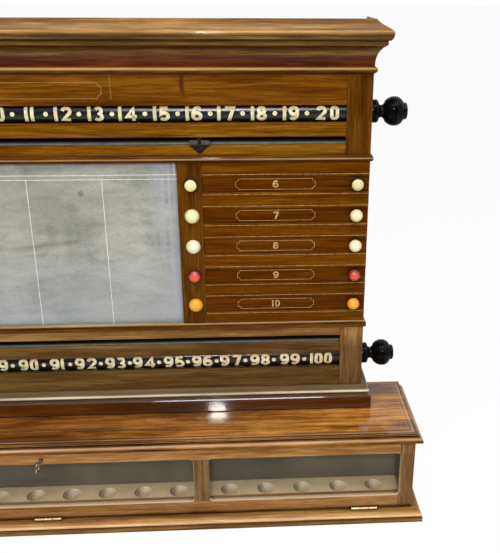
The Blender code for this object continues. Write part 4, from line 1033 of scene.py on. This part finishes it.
def ringedProfile(look):
    # The knob's outline with a small groove cut at each ring.
    def outlineAt(along):
        for (r0, a0), (r1, a1) in zip(look["knob"], look["knob"][1:]):
            if a0 <= along <= a1 and a1 > a0:
                return r0 + (r1 - r0) * (along - a0) / (a1 - a0)
        return 0.0

    points = [p for p in look["knob"]
              if all(abs(p[1] - mark) > look["ringHalf"] for mark in look["rings"])]
    for mark in look["rings"]:
        points += [(outlineAt(mark - look["ringHalf"]), mark - look["ringHalf"]),
                   (outlineAt(mark) - look["ringDepth"], mark),
                   (outlineAt(mark + look["ringHalf"]), mark + look["ringHalf"])]
    return sorted(points, key=lambda point: (point[1], -point[0]))


def makeRoller(row, look, drumFinish, knobFinish):
    low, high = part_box(f"{row}_roller")
    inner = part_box("cabinet_side_right")[0].x - look["drumGap"]
    foot = high.x - look["knobRoot"]
    axisY, axisZ = (low.y + high.y) / 2, (low.z + high.z) / 2
    half = [(0.0, look["drumRadius"]), (inner, look["drumRadius"]), (inner, look["spindleRadius"]),
            (foot, look["spindleRadius"])]
    half += [(foot + along * look["knobLength"], share * look["knobRadius"])
             for share, along in ringedProfile(look)]
    outline = [(-x, radius) for x, radius in reversed(half[1:])] + half
    steps = look["steps"]
    points = []
    for x, radius in outline:
        for k in range(steps):
            turn = 2 * math.pi * k / steps
            points.append((x, axisY + radius * math.cos(turn), axisZ + radius * math.sin(turn)))
    name = f"{row}_roller_turned"
    mesh = bpy.data.meshes.new(name)
    bm = bmesh.new()
    verts = [bm.verts.new(p) for p in points]
    for face in ringFaces(len(outline), steps):
        bm.faces.new([verts[i] for i in face])
    bmesh.ops.remove_doubles(bm, verts=bm.verts, dist=weldReach)
    bmesh.ops.recalc_face_normals(bm, faces=bm.faces)
    bm.to_mesh(mesh)
    bm.free()
    piece = addPiece(name, mesh, f"{row}_roller", drumFinish,
                     smooth=look["smoothAngle"])
    mesh.materials.append(knobFinish)
    for face in mesh.polygons:
        face.material_index = int(abs(face.center.x) > inner)
    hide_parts(f"{row}_roller")


for row in ("upper", "lower"):
    makeRoller(row, turning, finishes["drumPolish"], finishes["knobPolish"])
print("rollers turned")


# Figures, drawn as strokes in a box one wide and one high, each stroke open or closed.
def arc(centre, radii, start, end, steps=14):
    points = []
    for index in range(steps + 1):
        angle = math.radians(start + (end - start) * index / steps)
        points.append((centre[0] + radii[0] * math.cos(angle),
                       centre[1] + radii[1] * math.sin(angle)))
    return points


def squareRing(power, steps=28):
    # A ring with straight sides and round corners, as on a narrow nought.
    points = []
    for index in range(steps):
        angle = 2 * math.pi * index / steps
        c, s = math.cos(angle), math.sin(angle)
        points.append((0.5 + 0.5 * math.copysign(abs(c) ** (2 / power), c),
                       0.5 + 0.5 * math.copysign(abs(s) ** (2 / power), s)))
    return points


def ring(centre, radii, steps=22):
    return arc(centre, radii, 0, 360 * (steps - 1) / steps, steps - 1)


figures = {
    # figure: (width against the widest, strokes as (points, closed))
    "0": (0.86, [(squareRing(3.0), True)]),
    "1": (0.0, [([(0.5, 0.0), (0.5, 1.0)], False)]),
    "2": (1.02, [(arc((0.5, 0.72), (0.5, 0.28), 170, -28) + [(0.04, 0.0), (1.04, 0.0)], False)]),
    "3": (0.95, [(arc((0.46, 0.745), (0.46, 0.255), 145, -62, 12)
                  + arc((0.46, 0.255), (0.54, 0.265), 58, -145, 14), False)]),
    "4": (1.16, [([(0.72, -0.14), (0.72, 1.0), (0.0, 0.26), (1.06, 0.26)], False)]),
    "5": (1.02, [([(0.98, 1.0), (0.14, 1.0), (0.08, 0.50)]
                  + arc((0.46, 0.29), (0.54, 0.30), 118, -142, 14), False)]),
    "6": (1.02, [(ring((0.5, 0.29), (0.5, 0.29)), True),
                 (arc((0.56, 0.48), (0.56, 0.52), 48, 184, 10) + [(0.0, 0.30)], False)]),
    "7": (1.08, [([(0.0, 1.0), (1.0, 1.0), (0.44, -0.14)], False)]),
    "8": (0.95, [(ring((0.5, 0.755), (0.43, 0.245)), True),
                 (ring((0.5, 0.265), (0.5, 0.265)), True)]),
    "9": (0.98, [(ring((0.5, 0.71), (0.5, 0.29)), True),
                 (arc((0.44, 0.52), (0.56, 0.52), 228, 364, 10) + [(1.0, 0.70)], False)]),
}


def strokeSolid(points, closed, half, thick, mitreLimit=0.55):
    # A closed slab that follows the stroke, with mitred corners; sharp ones are cut short.
    count = len(points)
    sides = []
    for index in range(count):
        here = Vector(points[index])
        before = Vector(points[index - 1]) if closed or index else None
        after = Vector(points[(index + 1) % count]) if closed or index < count - 1 else None
        first = (here - before).normalized() if before is not None else None
        second = (after - here).normalized() if after is not None else None
        first = first or second
        second = second or first
        middle = (first + second).normalized()
        across = Vector((-middle.y, middle.x))
        reach = half / max(mitreLimit, across.dot(Vector((-first.y, first.x))))
        sides.append((here + across * reach, here - across * reach))
    bm = bmesh.new()
    layers = []
    for left, right in sides:
        layers.append([bm.verts.new((p.x, p.y, z)) for p in (left, right) for z in (-thick, thick)])
    for index in range(count if closed else count - 1):
        a, b = layers[index], layers[(index + 1) % count]
        for quad in ((a[1], a[3], b[3], b[1]), (a[2], a[0], b[0], b[2]),
                     (a[0], a[1], b[1], b[0]), (a[3], a[2], b[2], b[3])):
            bm.faces.new(quad)
    if not closed:
        for end in (layers[0], layers[-1]):
            bm.faces.new((end[0], end[1], end[3], end[2]))
    bmesh.ops.recalc_face_normals(bm, faces=bm.faces)
    mesh = bpy.data.meshes.new("stroke")
    bm.to_mesh(mesh)
    bm.free()
    return mesh


underside = -0.9  # faces that turn down further than this are hidden and left out


def figureMesh(figure, width, height, stroke, thick, bands):
    # One figure, its strokes joined, cut into bands so that it can be bent round a roller.
    # Strokes may end half a stroke under the box; a one is a bar of the full height.
    share, strokes = figures[figure]
    wide, high = max(0.0, width * share - stroke), height - stroke
    solids = []
    for points, closed in strokes:
        placed = [((x - 0.5) * wide, (min(max(y, -stroke / 2 / high), 1.0) - 0.5) * high)
                  for x, y in points]
        if figure == "1":
            placed = [(0.0, -height / 2), (0.0, height / 2)]
        solids.append(bpy.data.objects.new("stroke", strokeSolid(placed, closed, stroke / 2, thick)))
    for solid in solids:
        scene.collection.objects.link(solid)
    for extra in solids[1:]:
        join = solids[0].modifiers.new("join", "BOOLEAN")
        join.operation, join.solver, join.object = "UNION", "EXACT", extra
    bpy.context.view_layer.update()
    joined = bpy.data.meshes.new_from_object(
        solids[0].evaluated_get(bpy.context.evaluated_depsgraph_get()))
    for solid in solids:
        bpy.data.objects.remove(solid, do_unlink=True)
    bm = bmesh.new()
    bm.from_mesh(joined)
    bmesh.ops.remove_doubles(bm, verts=bm.verts, dist=weldReach)
    under = [f for f in bm.faces if f.normal.z < underside]
    bmesh.ops.delete(bm, geom=under, context="FACES")
    for index in range(1, bands):
        level = height * (index / bands - 0.5)
        bmesh.ops.bisect_plane(bm, geom=bm.verts[:] + bm.edges[:] + bm.faces[:], dist=cutReach,
                               plane_co=(0, level, 0), plane_no=(0, 1, 0))
    bm.verts.index_update()
    points = [v.co.copy() for v in bm.verts]
    faces = [[v.index for v in f.verts] for f in bm.faces]
    bm.free()
    halfWide = max(abs(p.x) for p in points)
    return {"points": points, "faces": faces, "width": 2 * halfWide}


def figureSet(width, height, stroke, thick, bands):
    return {figure: figureMesh(figure, width, height, stroke, thick, bands) for figure in figures}


def setNumber(text, shapes, gap):
    # The points and faces of a whole number, centred on nought.
    total = sum(shapes[c]["width"] for c in text) + gap * (len(text) - 1)
    points, faces, x = [], [], -total / 2
    for c in text:
        shape = shapes[c]
        start = len(points)
        x += shape["width"] / 2
        points += [p + Vector((x, 0, 0)) for p in shape["points"]]
        faces += [[start + i for i in face] for face in shape["faces"]]
        x += shape["width"] / 2 + gap
    return points, faces


# The number rollers: five rows of twenty, cream figures with round dots between them.
rollerNumbers = {
    "pitch": 0.050, "perRow": 20, "width": 0.0166, "height": 0.0234, "stroke": 0.0053,
    "turns": (0, 77.4, 145.8, 214.2, 282.6),  # degrees up from the row that shows
    "lift": 0.00012, "thick": 0.0003, "bands": 9, "dotRadius": 0.0036, "dotSides": 16,
}
# By roller: the row that shows, how far it is turned up, how far it stands to the side, and the
# numbers and dots that the painter set off the pitch.
rollerRows = {
    "upper": {"firstRow": 0, "tilt": 0.8, "shift": -0.0069, "gap": 0.0036,
              "numbers": {10: 0.0016, 12: 0.0014, 20: 0.0066}, "dots": {}},
    "lower": {"firstRow": 4, "tilt": -0.5, "shift": -0.0100, "gap": 0.0024,
              "numbers": {90: 0.0019, 94: 0.0008, 95: 0.0011, 98: 0.0008, 99: 0.0029, 100: 0.0082},
              "dots": {90: 0.0027, 91: -0.0024, 99: 0.0035}},
}


def dotShape(radius, sides, thick):
    points = [Vector((0, 0, thick))]
    for level in (thick, -thick):
        points += [Vector((radius * math.cos(2 * math.pi * k / sides),
                           radius * math.sin(2 * math.pi * k / sides), level))
                   for k in range(sides)]
    faces = []
    for k in range(sides):
        after = (k + 1) % sides
        faces.append([0, 1 + k, 1 + after])
        faces.append([1 + k, 1 + sides + k, 1 + sides + after, 1 + after])
    return points, faces


def makeNumbers(row, look, shapes, material):
    name, body, place = f"{row}_roller_numbers", f"{row}_roller", rollerRows[row]
    low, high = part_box(body)
    axisY, axisZ = (low.y + high.y) / 2, (low.z + high.z) / 2
    radius = turning["drumRadius"]
    points, faces = [], []

    def wrap(shape, x, turn):
        start = len(points)
        for p in shape[0]:
            angle = turn + p.y / radius
            reach = radius + look["lift"] + p.z - look["thick"]
            points.append((x + p.x, axisY - reach * math.cos(angle), axisZ + reach * math.sin(angle)))
        faces.extend([[start + i for i in face] for face in shape[1]])

    dot = dotShape(look["dotRadius"], look["dotSides"], look["thick"])
    for side, turned in enumerate(look["turns"]):
        first = (place["firstRow"] + side) % len(look["turns"]) * look["perRow"] + 1
        turn = math.radians(place["tilt"] + turned)
        for step in range(look["perRow"]):
            x = (step - (look["perRow"] - 1) / 2) * look["pitch"] + place["shift"]
            number = first + step
            wrap(setNumber(str(number), shapes, place["gap"]),
                 x + place["numbers"].get(number, 0.0), turn)
            if step < look["perRow"] - 1:
                wrap(dot, x + look["pitch"] / 2 + place["dots"].get(number, 0.0), turn)
    mesh = bpy.data.meshes.new(name)
    mesh.from_pydata(points, [], faces)
    mesh.validate()
    addPiece(name, mesh, body, material)


# Thin paint and inlay, rubbed away in specks.
paintTones = {
    # name: (pale, deep, roughness)
    "numberPaint": ((0.95, 0.85, 0.58), (0.76, 0.56, 0.26), 0.62),
    "lineGilt": ((0.44, 0.25, 0.07), (0.28, 0.14, 0.03), 0.40),
    "labelGilt": ((0.58, 0.38, 0.14), (0.38, 0.21, 0.06), 0.40),
    # pale strips along the slides' grooves, a painted highlight
    "grooveHighlightPaint": ((0.50, 0.31, 0.115), (0.19, 0.085, 0.018), 0.40),
    "linePaint": ((0.93, 0.93, 0.87), (0.70, 0.70, 0.62), 0.7),
}
paintGrain = {
    "cloudScale": 150.0, "deepAt": 0.36, "paleAt": 0.60,
    "rubbedScale": 900.0, "rubbed": ((0.30, grey(0.55)), (0.46, grey(1.0))), "shineReach": 0.2,
}


def makePaint(name, pale, deep, shine):
    look = paintGrain
    material, tree, shader = newMaterial(name)
    place = boardPlace(tree)
    cloud = noise(tree, place, scale=look["cloudScale"], detail=3.0, roughness=0.6)
    colour = ramp(tree, cloud, ((look["deepAt"], deep), (look["paleAt"], pale)))
    rubbed = noise(tree, place, scale=look["rubbedScale"], detail=2.0)
    colour = mixColour(tree, 1.0, colour, ramp(tree, rubbed, look["rubbed"]), "MULTIPLY")
    tree.links.new(colour, shader.inputs["Base Color"])
    roughened(tree, shader, cloud, shine, look["shineReach"])
    return material


paints = {name: makePaint(name, *tone) for name, tone in paintTones.items()}
rollerFigures = figureSet(rollerNumbers["width"], rollerNumbers["height"], rollerNumbers["stroke"],
                          rollerNumbers["thick"], rollerNumbers["bands"])
for row in rollerRows:
    makeNumbers(row, rollerNumbers, rollerFigures, paints["numberPaint"])
print("numbers set on the rollers")

# Thin gilt outlines with hollowed corners, and a plain number on each tally slide.
slideLabel = {
    "inFromEdge": 0.1175,  # from the frame's inner edge to the label's middle
    "halfWidth": 0.0640, "halfHeight": 0.0086, "corner": 0.0046, "line": 0.0006, "thick": 0.0001,
    "figureWidth": 0.0096, "figureHeight": 0.0122, "stroke": 0.0026, "gap": 0.0024,
}
frontLabel = {
    "centre": (0.0, 0.7255), "halfWidth": 0.130, "halfHeight": 0.0120, "corner": 0.0060,
    "line": 0.0008, "thick": 0.0001,
}


def hollowOutline(halfWidth, halfHeight, corner, steps=7):
    points = []
    for x, z, start in ((1, 1, 270), (-1, 1, 0), (-1, -1, 90), (1, -1, 180)):
        centre = (x * halfWidth, z * halfHeight)
        points += arc(centre, (corner, corner), start, start - 90, steps)
    return points


def outlineShape(look):
    solid = strokeSolid(hollowOutline(look["halfWidth"], look["halfHeight"], look["corner"]), True,
                        look["line"] / 2, look["thick"])
    points = [v.co.copy() for v in solid.vertices]
    faces = [list(f.vertices) for f in solid.polygons]
    bpy.data.meshes.remove(solid)
    return points, faces


def faceMesh(name, shapes, centre, faceY):
    # Flat shapes laid on a face that looks to the front.
    points, faces = [], []
    for shapePoints, shapeFaces in shapes:
        start = len(points)
        points += [(centre[0] + p.x, faceY - p.z, centre[1] + p.y) for p in shapePoints]
        faces += [[start + i for i in face] for face in shapeFaces]
    mesh = bpy.data.meshes.new(name)
    mesh.from_pydata(points, [], faces)
    mesh.validate()
    return mesh


labelFigures = figureSet(slideLabel["figureWidth"], slideLabel["figureHeight"],
                         slideLabel["stroke"], slideLabel["thick"], 1)
for side, sign, first in (("left", -1, 1), ("right", 1, slideCount + 1)):
    inner = abs(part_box(f"slide_frame_{side}")[0 if sign > 0 else 1].x)
    for number in range(1, slideCount + 1):
        low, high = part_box(f"slide_{side}_{number}")
        centre = (sign * (inner + slideLabel["inFromEdge"]), (low.z + high.z) / 2)
        shapes = [outlineShape(slideLabel),
                  setNumber(str(first + number - 1), labelFigures, slideLabel["gap"])]
        mesh = faceMesh(f"slide_label_{side}_{number}", shapes, centre, low.y)
        addPiece(f"slide_label_{side}_{number}", mesh, f"slide_{side}_{number}",
                 paints["labelGilt"])
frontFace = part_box("upper_front")[0].y
addPiece("front_label_line",
         faceMesh("front_label_line", [outlineShape(frontLabel)], frontLabel["centre"], frontFace),
         "cabinet", paints["lineGilt"])
print("gilt lines drawn")

# Pale lines along the edges of every slide's groove: painted highlight on the groove's arrises.
grooveHighlight = {"width": 0.0009, "gap": 0.0003, "thick": 0.00012}


def stripShape(low, high, thick):
    corners = [(low[0], low[1]), (high[0], low[1]), (high[0], high[1]), (low[0], high[1])]
    points = [Vector((x, y, z)) for z in (-thick, thick) for x, y in corners]
    faces = [[4, 5, 6, 7]] + [[k, (k + 1) % 4, 4 + (k + 1) % 4, 4 + k] for k in range(4)]
    return points, faces


for side in ("left", "right"):
    frameLow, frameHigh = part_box(f"slide_frame_{side}")
    strips = []
    for number in range(1, slideCount + 1):
        low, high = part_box(f"slide_{side}_{number}")
        for foot in (low.z - grooveHighlight["gap"] - grooveHighlight["width"], high.z + grooveHighlight["gap"]):
            strips.append(stripShape((frameLow.x, foot), (frameHigh.x, foot + grooveHighlight["width"]),
                                     grooveHighlight["thick"]))
    addPiece(f"stringing_{side}", faceMesh(f"stringing_{side}", strips, (0.0, 0.0), frameLow.y),
             "cabinet", paints["grooveHighlightPaint"])

# White lines ruled on the slate.
slateLines = {
    "uprights": (-0.118, 0.0, 0.118), "headers": (0.5935, 0.5865), "width": 0.0010,
    "thick": 0.00012, "endInset": 0.0040,
}


def makeSlateLines(look):
    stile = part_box("slate_stile_right")[0].x
    foot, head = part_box("lower_bead")[1].z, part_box("upper_bead")[0].z
    half = look["width"] / 2
    shapes = [stripShape((x - half, foot), (x + half, look["headers"][1] - half), look["thick"])
              for x in look["uprights"]]
    shapes += [stripShape((-stile, z - half), (stile, z + half), look["thick"])
               for z in look["headers"]]
    inset = stile - look["endInset"]
    shapes += [stripShape((x - half, look["headers"][0] + half), (x + half, head), look["thick"])
               for x in (-inset, inset)]
    mesh = faceMesh("slate_lines", shapes, (0.0, 0.0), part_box("slate")[0].y)
    addPiece("slate_lines", mesh, "cabinet", paints["linePaint"])


makeSlateLines(slateLines)

# Coloured half balls let into the stiles beside the slate.
stileBalls = {
    "out": 0.2585, "heights": (0.578, 0.526, 0.474, 0.422, 0.370),
    "radius": 0.01195, "rise": 0.0097, "rings": 10, "sides": 36, "smoothAngle": 60,
}
stileTones = {
    1: {"centre": (0.94, 0.86, 0.38), "rim": (0.045, 0.022, 0.010), "inner": 0.74, "outer": 0.80},
    2: {"centre": (0.98, 0.90, 0.55), "rim": (0.84, 0.68, 0.32), "inner": 0.60, "outer": 1.0},
    3: {"centre": (0.98, 0.91, 0.63), "rim": (0.86, 0.72, 0.42), "inner": 0.60, "outer": 1.0},
    # the red ball's dark rim is painted shadow from its seat
    4: {"centre": (0.84, 0.12, 0.050), "rim": (0.13, 0.005, 0.005), "inner": 0.50, "outer": 0.85},
    5: {"centre": (1.0, 0.46, 0.028), "rim": (0.82, 0.28, 0.012), "inner": 0.70, "outer": 1.0},
}


def halfBall(name, centre, look):
    points, sides, rings = [], look["sides"], look["rings"]
    for level in range(rings):
        angle = math.pi / 2 * level / rings
        reach, out = look["radius"] * math.cos(angle), look["rise"] * math.sin(angle)
        for k in range(sides):
            turn = 2 * math.pi * k / sides
            points.append((centre[0] + reach * math.cos(turn), centre[1] - out,
                           centre[2] + reach * math.sin(turn)))
    points.append((centre[0], centre[1] - look["rise"], centre[2]))
    last = (rings - 1) * sides
    faces = ringFaces(rings, sides)
    faces += [[last + k, last + (k + 1) % sides, len(points) - 1] for k in range(sides)]
    mesh = bpy.data.meshes.new(name)
    mesh.from_pydata(points, [], faces)
    return mesh


for number, tone in stileTones.items():
    finish = makeBall(f"stileBall{number}", tone)
    for side, sign in (("left", -1), ("right", 1)):
        name = f"stile_ball_{side}_{number}"
        centre = (sign * stileBalls["out"], 0.0, stileBalls["heights"][number - 1])
        addPiece(name, halfBall(name, centre, stileBalls), "cabinet", finish,
                 smooth=stileBalls["smoothAngle"])
print("balls and slate lines placed")
